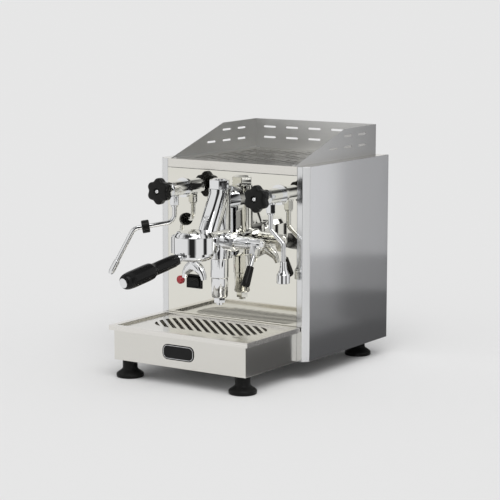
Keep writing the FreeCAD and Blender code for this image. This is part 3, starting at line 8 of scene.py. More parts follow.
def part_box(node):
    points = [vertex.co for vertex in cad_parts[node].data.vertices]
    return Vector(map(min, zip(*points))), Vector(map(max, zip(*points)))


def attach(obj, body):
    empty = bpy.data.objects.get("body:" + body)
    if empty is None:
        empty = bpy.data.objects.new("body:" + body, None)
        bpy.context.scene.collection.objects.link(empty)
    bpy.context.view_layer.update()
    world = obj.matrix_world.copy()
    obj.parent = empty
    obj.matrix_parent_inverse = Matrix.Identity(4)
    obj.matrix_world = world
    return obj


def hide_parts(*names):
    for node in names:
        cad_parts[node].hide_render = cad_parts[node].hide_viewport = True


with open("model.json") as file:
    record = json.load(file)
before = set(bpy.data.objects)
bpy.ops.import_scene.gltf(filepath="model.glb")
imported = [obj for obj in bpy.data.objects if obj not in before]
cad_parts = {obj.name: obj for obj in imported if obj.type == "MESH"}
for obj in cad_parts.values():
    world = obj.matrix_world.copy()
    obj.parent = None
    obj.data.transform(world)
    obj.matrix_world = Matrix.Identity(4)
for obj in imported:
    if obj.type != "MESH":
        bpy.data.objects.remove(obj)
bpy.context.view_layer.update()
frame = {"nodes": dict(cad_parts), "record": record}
scene = bpy.context.scene
mm = 0.001
print("frame loaded:", len(frame["nodes"]), "nodes")


# Camera, floor and light.

cameraSettings = {"place": (1.63414, -2.40154, 0.64008), "tilt": 81.634, "roll": -0.033, "heading": 33.799,
                  "lens": 125.94, "shift": (0.0114, -0.0083)}
cameraData = bpy.data.cameras.new("viewCamera")
cameraData.lens = cameraSettings["lens"]
cameraData.sensor_width = 36
cameraData.shift_x, cameraData.shift_y = cameraSettings["shift"]
camera = bpy.data.objects.new("viewCamera", cameraData)
camera.location = cameraSettings["place"]
camera.rotation_euler = [math.radians(cameraSettings[part]) for part in ("tilt", "roll", "heading")]
scene.collection.objects.link(camera)
scene.camera = camera
scene.view_settings.view_transform = "Standard"


# A number on a socket that takes part in Python expressions.
class Number:
    def __init__(self, tree, socket):
        self.tree, self.socket = tree, socket

    def math(self, operation, other=None, swapped=False):
        node = self.tree.nodes.new("ShaderNodeMath")
        node.operation = operation
        pair = (self,) if other is None else (other, self) if swapped else (self, other)
        for socket, item in zip(node.inputs, pair):
            if isinstance(item, Number):
                self.tree.links.new(item.socket, socket)
            else:
                socket.default_value = item
        return Number(self.tree, node.outputs[0])

    def __add__(self, other): return self.math("ADD", other)
    def __radd__(self, other): return self.math("ADD", other, True)
    def __sub__(self, other): return self.math("SUBTRACT", other)
    def __rsub__(self, other): return self.math("SUBTRACT", other, True)
    def __mul__(self, other): return self.math("MULTIPLY", other)
    def __rmul__(self, other): return self.math("MULTIPLY", other, True)
    def __pow__(self, other): return self.math("POWER", other)
    def __lt__(self, other): return self.math("LESS_THAN", other)
    def __gt__(self, other): return self.math("GREATER_THAN", other)


# Makes nodes in one tree: a type, its settings, then its sockets' values or links.
class Bench:
    def __init__(self, tree):
        self.tree = tree

    def node(self, kind, settings=None, values=None):
        node = self.tree.nodes.new(kind)
        for name, value in (settings or {}).items():
            if name == "stops":
                ramp = node.color_ramp
                while len(ramp.elements) < len(value):
                    ramp.elements.new(0.5)
                for stop, (spot, tone) in zip(ramp.elements, value):
                    stop.position, stop.color = spot, (*tone, 1)
            else:
                setattr(node, name, value)
        for name, value in (values or {}).items():
            socket = node.inputs[name]
            if isinstance(value, Number):
                self.tree.links.new(value.socket, socket)
            elif isinstance(value, bpy.types.NodeSocket):
                self.tree.links.new(value, socket)
            else:
                socket.default_value = value
        return node

    def number(self, node, output=0):
        return Number(self.tree, node.outputs[output])


stageSettings = {"floorSize": 160.0, "floorTone": (0.80, 0.80, 0.80), "backTone": (0.783, 0.783, 0.783),
                 "ambient": 0.59, "sun": 1.5, "sunAngle": 50.0, "sunTurn": (30, 14, 20)}


def stagePlane(name, corners, material, shown=True):
    mesh = bpy.data.meshes.new(name)
    mesh.from_pydata(corners, [], [tuple(range(len(corners)))])
    plane = bpy.data.objects.new(name, mesh)
    scene.collection.objects.link(plane)
    mesh.materials.append(material)
    if not shown:   # a studio card: seen only in shiny surfaces
        plane.visible_camera = plane.visible_diffuse = plane.visible_shadow = False


def plainMaterial(name):
    material = bpy.data.materials.new(name)
    material.use_nodes = True
    material.node_tree.nodes.clear()
    bench = Bench(material.node_tree)
    return material, bench


floorMaterial, bench = plainMaterial("paleFloor")
coat = bench.node("ShaderNodeBsdfDiffuse", values={"Color": (*stageSettings["floorTone"], 1)})
bench.node("ShaderNodeOutputMaterial", values={"Surface": coat.outputs[0]})
half = stageSettings["floorSize"] / 2
stagePlane("floor", [(-half, -half, 0), (half, -half, 0), (half, half, 0), (-half, half, 0)], floorMaterial)

world = bpy.data.worlds.new("studio")
scene.world = world
world.use_nodes = True
world.node_tree.nodes.clear()
bench = Bench(world.node_tree)
path = bench.node("ShaderNodeLightPath")
seen = bench.number(path, "Is Camera Ray") + bench.number(path, "Is Glossy Ray")
seen = seen + bench.number(path, "Is Transmission Ray")
shade = bench.node("ShaderNodeBackground", values={"Color": (1, 1, 1, 1),
                                                   "Strength": stageSettings["ambient"]})
backdrop = bench.node("ShaderNodeBackground", values={"Color": (*stageSettings["backTone"], 1),
                                                      "Strength": 1.0})
mixed = bench.node("ShaderNodeMixShader", values={"Fac": seen.math("MINIMUM", 1.0), 1: shade.outputs[0],
                                                  2: backdrop.outputs[0]})
bench.node("ShaderNodeOutputWorld", values={"Surface": mixed.outputs[0]})

sunData = bpy.data.lights.new("softSun", "SUN")
sunData.energy = stageSettings["sun"]
sunData.angle = math.radians(stageSettings["sunAngle"])
sun = bpy.data.objects.new("softSun", sunData)
sun.rotation_euler = [math.radians(angle) for angle in stageSettings["sunTurn"]]
scene.collection.objects.link(sun)

# Studio cards, seen only in shiny surfaces. A standing card is (middle in degrees, half width, low, high, tone).
cardSettings = {
    "reach": 0.62, "fade": 5.0, "tint": 1.02, "floorHeight": 0.002, "overTone": 0.05,
    "softCards": [(21, 19, 0.003, 0.8, 0.02), (80, 12, 0.02, 0.8, 0.02), (174, 11, 0.003, 0.8, 0.03),
                  (-98, 11, 0.003, 0.8, 0.03), (-154, 13, 0.003, 0.8, 0.03), (-68, 4, 0.003, 0.8, 0.03)],
    "columns": (127, 137, 147, 157), "columnHalf": 5,   # a wall of graded cards, behind on the right
    "bands": [(0.13, 1.0, (0.78, 0.7, 0.42, 0.22)), (0.06, 0.13, (0.54, 0.44, 0.26, 0.14)),
              (0.003, 0.06, (0.36, 0.25, 0.13, 0.08))],   # (low, high, a tone for each column)
    "floor": [(0.14, -0.05, 0.34, 0.6, 0.09), (0.34, 0.0, 0.6, 0.7, 0.2)],   # (x0, y0, x1, y1, tone)
    "over": [(-0.8, -1.2, 0.8, -0.45, 1.05), (-0.8, -0.38, 0.8, 0.0, 1.05),
             (-0.8, 0.1, 0.8, 0.7, 1.05)],   # (x0, y0, x1, y1, height)
}


def cardMaterial(name, tone, soft):
    # A soft card fades out towards its edges: "sides" or "all" of them.
    material, bench = plainMaterial(name)
    glow = bench.node("ShaderNodeEmission", values={"Color": (tone, tone, tone * cardSettings["tint"], 1),
                                                    "Strength": 1.0})
    surface = glow.outputs[0]
    if soft:
        split = bench.node("ShaderNodeSeparateXYZ", values={0: bench.node("ShaderNodeTexCoord").outputs["Generated"]})
        x, y, z = (bench.number(split, k) for k in range(3))
        fade = (x * (1.0 - x) * cardSettings["fade"]).math("MINIMUM", 1.0)
        rest = y * (1.0 - y) if soft == "all" else (1.0 - z)
        fade = fade * (rest * cardSettings["fade"]).math("MINIMUM", 1.0)
        clearCard = bench.node("ShaderNodeBsdfTransparent")
        surface = bench.node("ShaderNodeMixShader", values={"Fac": fade, 1: clearCard.outputs[0],
                                                            2: surface}).outputs[0]
    bench.node("ShaderNodeOutputMaterial", values={"Surface": surface})
    return material


def placeCards():
    reach = cardSettings["reach"]
    standing = [(*card, "sides") for card in cardSettings["softCards"]]
    for low, high, tones in cardSettings["bands"]:
        for middle, tone in zip(cardSettings["columns"], tones):
            standing.append((middle, cardSettings["columnHalf"], low, high, tone, None))
    for count, (middle, width, low, high, tone, soft) in enumerate(standing):
        turns = [math.radians(angle) for angle in (middle - width, middle + width)]
        ends = [(reach * math.sin(turn), -reach * math.cos(turn)) for turn in turns]
        stagePlane(f"card{count}", [(*ends[0], low), (*ends[1], low), (*ends[1], high), (*ends[0], high)],
                   cardMaterial(f"card{count}", tone, soft), False)
    for count, (x0, y0, x1, y1, tone) in enumerate(cardSettings["floor"]):
        z = cardSettings["floorHeight"]
        stagePlane(f"floorCard{count}", [(x0, y0, z), (x1, y0, z), (x1, y1, z), (x0, y1, z)],
                   cardMaterial(f"floorCard{count}", tone, None), False)
    for count, (x0, y0, x1, y1, z) in enumerate(cardSettings["over"]):
        stagePlane(f"overCard{count}", [(x0, y0, z), (x1, y0, z), (x1, y1, z), (x0, y1, z)],
                   cardMaterial(f"overCard{count}", cardSettings["overTone"], "all"), False)


placeCards()
print("camera and studio ready")


# Finishes.

def newFinish(name, metallic=0.0, **uniform):
    material = bpy.data.materials.new(name)
    material.use_nodes = True
    bench = Bench(material.node_tree)
    shader = material.node_tree.nodes["Principled BSDF"]
    shader.inputs["Metallic"].default_value = metallic
    for socket, value in uniform.items():
        shader.inputs[socket.replace("_", " ")].default_value = value
    spot = bench.node("ShaderNodeTexCoord").outputs["Object"]
    return material, bench, shader, spot


def noiseOver(bench, spot, scale, detail=3.0, stretch=(1, 1, 1), turn=(0, 0, 0)):
    placed = bench.node("ShaderNodeMapping", values={"Vector": spot, "Scale": stretch, "Rotation": turn})
    return bench.number(bench.node("ShaderNodeTexNoise", values={
        "Vector": placed.outputs[0], "Scale": scale, "Detail": detail, "Roughness": 0.55}), "Fac")


def blendTones(bench, shader, factor, first, second):
    mix = bench.node("ShaderNodeMix", {"data_type": "RGBA"}, {0: factor, 6: (*first, 1), 7: (*second, 1)})
    bench.tree.links.new(mix.outputs[2], shader.inputs["Base Color"])


def feed(bench, shader, socket, number):
    bench.tree.links.new(number.socket, shader.inputs[socket])


def bumpFrom(bench, shader, height, strength, distance):
    bump = bench.node("ShaderNodeBump", values={"Strength": strength, "Distance": distance, "Height": height})
    bench.tree.links.new(bump.outputs[0], shader.inputs["Normal"])


def polishedSteel(name, tones, rough=(0.03, 0.05), wave=0.05, waveScale=5.0):
    material, bench, shader, spot = newFinish(name, 1.0)
    haze = noiseOver(bench, spot, 38, 5)
    smear = noiseOver(bench, spot, 9, 3, (1, 1, 2.4))
    blendTones(bench, shader, smear, *tones)
    feed(bench, shader, "Roughness", rough[0] + rough[1] * haze * smear)
    fine = noiseOver(bench, spot, 900, 2)
    bumpFrom(bench, shader, noiseOver(bench, spot, waveScale, 1) + 0.004 * fine, wave, 0.004)
    return material


def brushedSteel(name, tones, stretch, rough=(0.2, 0.2), depth=0.1):
    material, bench, shader, spot = newFinish(name, 1.0)
    hairs = noiseOver(bench, spot, 1.0, 4, stretch)
    wide = noiseOver(bench, spot, 1.0, 2, [part * 0.16 for part in stretch])
    marks = noiseOver(bench, spot, 14, 5)
    blendTones(bench, shader, 0.6 * hairs + 0.4 * marks, *tones)
    feed(bench, shader, "Roughness", rough[0] + rough[1] * (0.55 * hairs + 0.25 * wide + 0.2 * marks))
    bumpFrom(bench, shader, hairs + 0.4 * wide, depth, 0.00025)
    return material


def mouldedBlack(name, tones, rough=(0.3, 0.18), grain=1100.0, depth=0.12, **uniform):
    material, bench, shader, spot = newFinish(name, 0.0, **uniform)
    grains = noiseOver(bench, spot, grain, 2)
    rub = noiseOver(bench, spot, 42, 5)
    blendTones(bench, shader, rub, *tones)
    feed(bench, shader, "Roughness", rough[0] + rough[1] * rub + 0.05 * grains)
    bumpFrom(bench, shader, grains + 0.3 * rub, depth, 0.0003)
    return material


def metalOf(name, tones, rough=(0.25, 0.25), scale=24.0, metallic=1.0):
    material, bench, shader, spot = newFinish(name, metallic)
    stain = noiseOver(bench, spot, scale, 6)
    fine = noiseOver(bench, spot, 600, 2)
    blendTones(bench, shader, (stain - 0.35) * 2.2, *tones)
    feed(bench, shader, "Roughness", rough[0] + rough[1] * stain)
    bumpFrom(bench, shader, stain + 0.2 * fine, 0.1, 0.0004)
    return material


finishes = {
    "mirror": polishedSteel("mirrorSteel", ((0.885, 0.87, 0.805), (0.835, 0.82, 0.745)), (0.015, 0.035), 0.03,
                            3.2),
    "chrome": polishedSteel("chromePlate", ((0.90, 0.905, 0.91), (0.85, 0.855, 0.86)), (0.02, 0.05), 0.012,
                            18.0),
    "brushedAcross": brushedSteel("brushedAcross", ((0.82, 0.805, 0.76), (0.74, 0.725, 0.68)), (5, 900, 900),
                                  (0.11, 0.12), 0.06),
    "brushedUp": brushedSteel("brushedUp", ((0.83, 0.835, 0.84), (0.74, 0.745, 0.75)), (900, 900, 4),
                              (0.1, 0.12), 0.04),
    "brushedBack": brushedSteel("brushedBack", ((0.70, 0.70, 0.69), (0.58, 0.58, 0.57)), (5, 900, 900),
                                (0.24, 0.2)),
    "tray": brushedSteel("trayTop", ((0.86, 0.84, 0.79), (0.78, 0.76, 0.71)), (5, 900, 900), (0.13, 0.14)),
    "basinInside": brushedSteel("basinPressed", ((0.88, 0.86, 0.82), (0.82, 0.80, 0.76)), (7, 700, 700),
                                (0.16, 0.2), 0.02),
    "frame": metalOf("bentFrame", ((0.56, 0.56, 0.55), (0.44, 0.44, 0.44)), (0.3, 0.25)),
    "black": mouldedBlack("blackMoulding", ((0.006, 0.006, 0.006), (0.012, 0.012, 0.011)), (0.18, 0.16),
                          IOR=1.45, Specular_IOR_Level=0.22),
    "handle": mouldedBlack("handleMoulding", ((0.004, 0.004, 0.004), (0.008, 0.008, 0.008)), (0.14, 0.14),
                           700, 0.05, IOR=1.45, Specular_IOR_Level=0.22),
    "rubber": mouldedBlack("blackRubber", ((0.006, 0.006, 0.006), (0.014, 0.014, 0.013)), (0.2, 0.18), 500,
                           0.1, IOR=1.45, Specular_IOR_Level=0.13),
    "badge": mouldedBlack("badgeEnamel", ((0.008, 0.008, 0.008), (0.016, 0.016, 0.016)), (0.2, 0.2), 300,
                          0.05, Specular_IOR_Level=0.15),
    "copper": metalOf("copperTube", ((0.78, 0.40, 0.26), (0.50, 0.22, 0.14)), (0.22, 0.3)),
    "brass": metalOf("brassFitting", ((0.78, 0.60, 0.30), (0.58, 0.42, 0.2)), (0.24, 0.25)),
    "steelPart": metalOf("turnedSteel", ((0.62, 0.62, 0.61), (0.48, 0.48, 0.47)), (0.24, 0.22), 60.0),
    "pump": metalOf("pumpMoulding", ((0.05, 0.05, 0.055), (0.09, 0.09, 0.09)), (0.45, 0.2), 80.0, 0.0),
    "gasket": mouldedBlack("gasketRubber", ((0.03, 0.012, 0.01), (0.045, 0.02, 0.016)), (0.5, 0.2)),
    "screen": metalOf("showerScreen", ((0.60, 0.60, 0.59), (0.42, 0.42, 0.41)), (0.2, 0.25), 90.0),
}

lens, bench, shader, spot = newFinish("redLens", 0.0, Coat_Roughness=0.08, IOR=1.49, Coat_Weight=0.6)
facets = bench.number(bench.node("ShaderNodeTexVoronoi", {"feature": "F1"}, {"Vector": spot, "Scale": 700.0}))
cloud = noiseOver(bench, spot, 160, 3)
blendTones(bench, shader, facets * 0.7 + cloud * 0.3, (0.52, 0.006, 0.018), (0.34, 0.004, 0.012))
feed(bench, shader, "Roughness", 0.14 + 0.16 * cloud)
bumpFrom(bench, shader, facets, 0.25, 0.0004)
finishes["lens"] = lens

clear, bench, shader, spot = newFinish("clearMoulding", 0.0, Transmission_Weight=0.85, IOR=1.46)
scuffs = noiseOver(bench, spot, 30, 6)
blendTones(bench, shader, scuffs, (0.86, 0.90, 0.92), (0.78, 0.83, 0.86))
feed(bench, shader, "Roughness", 0.12 + 0.3 * scuffs)
bumpFrom(bench, shader, scuffs, 0.08, 0.0005)
finishes["clear"] = clear
print("finishes ready:", len(finishes))


# The CAD nodes' own finishes.

nodeFinishes = {
    "frame": ["chassis_frame"],
    "brushedUp": ["left_side_panel", "right_side_panel"],
    "brushedBack": ["back_panel", "cup_rail"],
    "mirror": ["front_panel"],
    "brushedAcross": ["drip_box", "drip_grid"],
    "basinInside": ["drip_basin"],
    "tray": ["cup_tray"],
    "chrome": ["group_body", "group_cap", "nose_plug", "lower_chamber", "drain_nozzle", "cam_bushing",
               "wand_nuts",
               "steam_valve_body", "hot_water_valve_body", "lever_arm", "steam_wand", "hot_water_wand",
               "hot_water_nozzle",
               "portafilter_body", "handle_cap", "double_spout", "cam_shaft"],
    "screen": ["shower_screen", "filter_basket"],
    "steelPart": ["foot_bolts", "panel_screws", "group_bolts", "heating_element", "boiler_cradle"],
    "black": ["steam_knob", "hot_water_knob", "lever_grip", "switch_frame", "rocker", "steam_wand_grip",
              "power_inlet"],
    "handle": ["portafilter_handle"],
    "rubber": ["rubber_feet", "suction_hose", "pump_mounts"],
    "badge": ["badge_plate"],
    "lens": ["indicator_lamp"],
    "copper": ["heat_exchanger", "upper_circulation_pipe", "lower_circulation_pipe", "steam_pipe",
               "hot_water_pipe", "feed_pipe"],
    "brass": ["boiler_shell", "safety_valve"],
    "pump": ["vibration_pump", "pressure_switch", "control_box"],
    "gasket": ["group_gasket"],
    "clear": ["water_tank"],
}
finishOf = {node: finishes[finish] for finish, nodes in nodeFinishes.items() for node in nodes}
for node, finish in finishOf.items():
    slots = frame["nodes"][node].material_slots
    for slot in slots:
        slot.material = finish
bodyOf = {node: body for body, nodes in frame["record"]["behaviour"]["bodies"].items() for node in nodes}
slotOf = {node: entry["slot"] for entry in frame["record"]["materials"] for node in entry.get("nodes", [])}
print("nodes with a finish:", len(finishOf), "of", len(frame["nodes"]))


# Mesh helpers.

def settle(name, bm, nodes, finish, body=None, angle=32, tidy=True):
    # Turns a bmesh into a piece that rides and stands for its nodes.
    if tidy:
        bmesh.ops.remove_doubles(bm, verts=bm.verts, dist=1e-6)
        bmesh.ops.recalc_face_normals(bm, faces=bm.faces)
    mesh = bpy.data.meshes.new(name)
    bm.to_mesh(mesh)
    bm.free()
    mesh.shade_smooth()
    mesh.set_sharp_from_angle(angle=math.radians(angle))
    piece = bpy.data.objects.new(name, mesh)
    scene.collection.objects.link(piece)
    for material in finish if isinstance(finish, (list, tuple)) else [finish]:
        mesh.materials.append(material)
    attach(piece, body or bodyOf[nodes[0]])
    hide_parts(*nodes)
    nodes[0] in slotOf
    return piece


def addTurned(bm, profile, matrix, sides=64, material=0):
    # Revolves (radius, height) points in mm about Z, then places the result.
    rings = []
    for radius, height in profile:
        if radius < 1e-6:
            rings.append([bm.verts.new(matrix @ Vector((0, 0, height * mm)))])
        else:
            rings.append([bm.verts.new(matrix @ Vector((radius * mm * math.cos(2 * math.pi * k / sides),
                                                         radius * mm * math.sin(2 * math.pi * k / sides),
                                                         height * mm))) for k in range(sides)])
    for low, high in zip(rings, rings[1:]):
        for k in range(sides):
            n = (k + 1) % sides
            if len(low) == 1 and len(high) == 1:
                continue
            if len(low) == 1:
                face = bm.faces.new((low[0], high[n], high[k]))
            elif len(high) == 1:
                face = bm.faces.new((low[k], low[n], high[0]))
            else:
                face = bm.faces.new((low[k], low[n], high[n], high[k]))
            face.material_index = material


def rounded(points, radius, steps=5):
    # Rounds the inner corners of an open profile.
    result = [points[0]]
    for before, here, after in zip(points, points[1:], points[2:]):
        a, p, b = Vector(before), Vector(here), Vector(after)
        reach = min(radius, (a - p).length * 0.45, (b - p).length * 0.45)
        start, end = p + (a - p).normalized() * reach, p + (b - p).normalized() * reach
        for k in range(steps + 1):
            t = k / steps
            result.append(tuple(start * (1 - t) ** 2 + p * 2 * t * (1 - t) + end * t ** 2))
    return result + [points[-1]]


def pointing(place, way, roll=0.0):
    # Matrix that puts Z along a direction at a place in mm.
    turn = Vector(way).to_track_quat("Z", "Y").to_matrix().to_4x4()
    return Matrix.Translation(Vector(place) * mm) @ turn @ Matrix.Rotation(roll, 4, "Z")


def ringAt(bm, middle, side, other, radius, sides):
    # One ring of corners round a bar; in mm.
    turns = (2 * math.pi * n / sides for n in range(sides))
    return [bm.verts.new((middle + (side * math.cos(a) + other * math.sin(a)) * radius) * mm) for a in turns]


def skinLoops(bm, loops, materials=None):
    # Joins closed loops one after another, with a material for each band, and caps both ends.
    count = len(loops[0])
    materials = materials or [0] * (len(loops) - 1)
    for low, high, material in zip(loops, loops[1:], materials):
        for n in range(count):
            m = (n + 1) % count
            bm.faces.new((low[n], low[m], high[m], high[n])).material_index = material
    bm.faces.new(loops[0][::-1]).material_index = materials[0]
    bm.faces.new(loops[-1]).material_index = materials[-1]


hornBore = ((0.72, 0.0), (0.66, -7.0))   # the bore's share of the end radius, and how far in it lies


def addHorn(bm, points, radii, sides=28, rings=26):
    # Sweeps a tapering tube through points, with a bored end.
    def curve(values, t):
        span = t * (len(values) - 1)
        k = min(int(span), len(values) - 2)
        u = span - k
        a, b = values[max(k - 1, 0)], values[k]
        c, d = values[k + 1], values[min(k + 2, len(values) - 1)]
        return 0.5 * ((2 * b) + (c - a) * u + (2 * a - 5 * b + 4 * c - d) * u * u + (3 * b - a - 3 * c + d) * u ** 3)
    spots = [Vector(p) for p in points]
    frameX = Vector((0, 1, 0))
    loops = []
    for k in range(rings + 1):
        t = k / rings
        middle, size = curve(spots, t), curve(radii, t)
        ahead = (curve(spots, min(t + 0.01, 1)) - curve(spots, max(t - 0.01, 0))).normalized()
        side = (frameX - ahead * frameX.dot(ahead)).normalized()
        other = ahead.cross(side)
        loops.append(ringAt(bm, middle, side, other, size, sides))
    for scale, back in hornBore:
        loops.append(ringAt(bm, middle + ahead * back, side, other, size * scale, sides))
    skinLoops(bm, loops)


def addPipe(bm, points, radius, bend, sides=32, arcSteps=14):
    # Sweeps a round bar along straight runs joined by arcs; all in mm.
    spots = [Vector(p) for p in points]
    line = [spots[0]]
    for before, here, after in zip(spots, spots[1:], spots[2:]):
        back, on = (before - here).normalized(), (after - here).normalized()
        reach = bend * math.tan((math.pi - back.angle(on)) / 2)
        start, end = here + back * reach, here + on * reach
        middle = here + (back + on).normalized() * (bend / math.sin(back.angle(on) / 2))
        first, last = start - middle, end - middle
        for k in range(arcSteps + 1):
            line.append(middle + first.normalized().slerp(last.normalized(), k / arcSteps) * bend)
    line.append(spots[-1])
    ahead = (line[1] - line[0]).normalized()
    side = ahead.orthogonal().normalized()
    loops = []
    for k, spot in enumerate(line):
        way = (line[min(k + 1, len(line) - 1)] - line[max(k - 1, 0)]).normalized()
        side = (side - way * side.dot(way)).normalized()
        other = way.cross(side)
        loops.append(ringAt(bm, spot, side, other, radius, sides))
    skinLoops(bm, loops)


# Pressed and machined pieces: the CAD shape with its edges eased.

easedSettings = {
    "left_side_panel": 0.5, "right_side_panel": 0.5, "drip_box": 0.5, "drip_basin": 0.25, "cup_tray": 0.5,
    "group_cap": 0.9, "cam_bushing": 0.5, "wand_nuts": 0.6, "drain_nozzle": 0.5,
    "steam_valve_body": 0.6, "hot_water_valve_body": 0.6, "lever_arm": 1.0, "switch_frame": 0.5,
    "rocker": 0.4,
    "steam_wand_grip": 1.6, "handle_cap": 0.5, "group_body": 0.9,
    "portafilter_body": 0.5, "power_inlet": 0.4, "front_panel": 0.12, "drip_grid": 0.3, "nose_plug": 0.4,
    "lower_chamber": 0.35, "hot_water_nozzle": 0.5, "lever_grip": 0.3,
}


def easeNode(node, width):
    bm = bmesh.new()
    bm.from_mesh(frame["nodes"][node].data)
    bmesh.ops.remove_doubles(bm, verts=bm.verts, dist=2e-6)
    bmesh.ops.dissolve_limit(bm, angle_limit=math.radians(0.4), verts=bm.verts, edges=bm.edges)
    piece = settle(node.replace("_", "-") + "-eased", bm, [node], finishOf[node], angle=34, tidy=False)
    soft = piece.modifiers.new("easedEdges", "BEVEL")
    soft.width = width * mm
    soft.segments = 3
    soft.limit_method = "ANGLE"
    soft.angle_limit = math.radians(34)
    soft.use_clamp_overlap = True
    soft.harden_normals = True
    return piece


for node, width in easedSettings.items():
    easeNode(node, width)
print("eased pieces:", len(easedSettings))


# Double spout.

lockSettings = {"axisY": -106.7, "turn": -8.0}   # where the portafilter sits, and how far it is turned home


def turnHome(bm):
    placed = Matrix.Translation((0, lockSettings["axisY"] * mm, 0))
    turn = placed @ Matrix.Rotation(math.radians(lockSettings["turn"]), 4, "Z")
    bmesh.ops.transform(bm, matrix=turn, verts=bm.verts)


spoutSettings = {"hub": [(0, 196), (8.6, 196), (8.6, 188.5), (6.4, 186.5), (0, 185)], "hubRound": 1.2,
                 "arm": [(0, 0, 195.5), (5, 0, 193), (13, 0, 187.5), (19.2, 0, 180.5), (21.8, 0, 171.7)],
                 "radii": [9.3, 9.0, 7.9, 5.8, 4.1]}


def makeSpout():
    bm = bmesh.new()
    for side in (-1, 1):
        addHorn(bm, [(side * x, y, z) for x, y, z in spoutSettings["arm"]], spoutSettings["radii"])
    addTurned(bm, rounded(spoutSettings["hub"], spoutSettings["hubRound"]), Matrix())
    turnHome(bm)
    settle("doubleSpout", bm, ["double_spout"], finishes["chrome"], angle=40)


makeSpout()


# Wands.

wandSettings = {"radius": 4.0, "bends": {"steam": 15, "water": 9},
                "collar": [(0, 275), (6, 275), (6, 278), (0, 278)], "collarRound": 0.8,
                "tip": [(0, -20), (4.4, -20), (5.2, -18.5), (5.2, 0), (4.6, 2.5), (3.2, 5.5), (1.2, 5.9),
                        (1.0, 3), (0, 3)], "tipRound": 0.6,
                "steam": [(-97, -27.2, 287.9), (-97, -27.2, 250), (-150, -71.2, 239), (-179, -95.7, 167)],
                "water": [(97, -27.2, 287.9), (97, -27.2, 251), (121.5, -27.2, 229), (121.5, -27.2, 200)]}


def makeWands():
    radius = wandSettings["radius"]
    for node, key in (("steam_wand", "steam"), ("hot_water_wand", "water")):
        points = wandSettings[key]
        bm = bmesh.new()
        addPipe(bm, points, radius, wandSettings["bends"][key])
        x, y = points[0][:2]
        addTurned(bm, rounded(wandSettings["collar"], wandSettings["collarRound"]),
                  Matrix.Translation((x * mm, y * mm, 0)), 48)
        if key == "steam":   # tip sleeve and nozzle
            way = Vector(points[3]) - Vector(points[2])
            addTurned(bm, rounded(wandSettings["tip"], wandSettings["tipRound"]),
                      pointing(points[3], way), 48)
        settle(node.replace("_", "-") + "-pipe", bm, [node], finishes["chrome"], angle=40)


makeWands()


# Portafilter handle.

handleSettings = {"start": (0, -42.0, 207.585), "droop": 11.0, "length": 121.23,
                  "profile": [(0, 0), (8.6, 0), (9.4, 0.8), (9.4, 5), (10.2, 6.2), (10.6, 30), (10.4, 52),
                              (11.6, 56.5),
                              (13.4, 60), (13.9, 68), (13.9, 104), (13.0, 114), (11.0, 119.4), (8.05, 121.2),
                              (8.05, 119.2), (0, 119.2)]}


def makeHandle():
    bm = bmesh.new()
    droop = math.radians(handleSettings["droop"])
    way = (0, -math.cos(droop), -math.sin(droop))
    placed = pointing(handleSettings["start"], way)
    addTurned(bm, rounded(handleSettings["profile"], 2.2, 4), placed, 80)
    turnHome(bm)
    settle("portafilterHandle", bm, ["portafilter_handle"], finishes["handle"], angle=50)


makeHandle()
print("wands and handle made")


# Badge: a bare enamel plate in a thin polished frame.

badgeSettings = {"width": 62.4, "height": 25.3, "level": 55.95, "face": -152.2, "corner": 10.0, "rim": 1.7,
                 "line": 0.7, "thick": 0.95}


def badgeLoop(bm, inset, y):
    spots = []
    wide, tall = badgeSettings["width"] / 2 - inset, badgeSettings["height"] / 2 - inset
    corner = max(badgeSettings["corner"] - inset, 0.6)
    for quarter, (sx, sz) in enumerate(((1, 1), (-1, 1), (-1, -1), (1, -1))):
        for k in range(9):
            a = math.radians(90 * quarter + 90 * k / 8)
            spots.append(bm.verts.new(((sx * (wide - corner) + corner * math.cos(a)) * mm, y * mm,
                                       (badgeSettings["level"] + sz * (tall - corner) + corner * math.sin(a)) * mm)))
    return spots


def makeBadge():
    bm = bmesh.new()
    face, front = badgeSettings["face"], badgeSettings["face"] - badgeSettings["thick"]
    rim, inner = badgeSettings["rim"], badgeSettings["rim"] + badgeSettings["line"]
    loops = [badgeLoop(bm, inset, y) for inset, y in (
        (0, face), (0, front + 0.25), (0.25, front + 0.1), (rim, front + 0.1), (rim + 0.1, front),
        (inner - 0.1, front),
        (inner, front + 0.1), (inner + 0.1, front + 0.4))]
    skinLoops(bm, loops, [1, 1, 1, 0, 0, 0, 1])   # 0 is the polished line, 1 the enamel
    settle("badge", bm, ["badge_plate"], [finishes["chrome"], finishes["badge"]], angle=50)


makeBadge()


# Rubber feet.

footSettings = {"profile": [(0, 0), (21.6, 0), (23, 1.6), (23, 6.2), (20.5, 8.4), (13.6, 13.2), (12.5, 15.5),
                            (12.5, 30), (0, 30)],
                "spots": [(113, -133), (113, 232), (-113, -133), (-113, 232)]}


def makeFeet():
    bm = bmesh.new()
    for x, y in footSettings["spots"]:
        addTurned(bm, rounded(footSettings["profile"], 1.3), Matrix.Translation((x * mm, y * mm, 0)), 72)
    settle("rubberFeet", bm, ["rubber_feet"], finishes["rubber"], angle=45)


makeFeet()
print("spout and feet made")


# Knobs: a rule-based star.

knobSettings = {"radius": 22.3, "depth": 15.5, "lobes": 6.0, "scallop": 0.17, "edge": 0.16, "crown": 1.6,
                "dish": 3.2,
                "x": 97.0, "face": -78.5, "height": 305.5, "turn": 30.0, "screwRound": 0.3, "collarRound": 0.6,
                "screw": [(0, -6), (3.3, -6), (3.3, -0.2), (2.6, 0.5), (1.7, 0.5), (1.5, -1.2), (0, -1.2)],
                "collar": [(8.4, -17.4), (8.4, -15.4), (5.0, -14.6), (5.0, -2)],
                "spindle": [(0, -39), (4, -39), (4, -10), (0, -10)]}


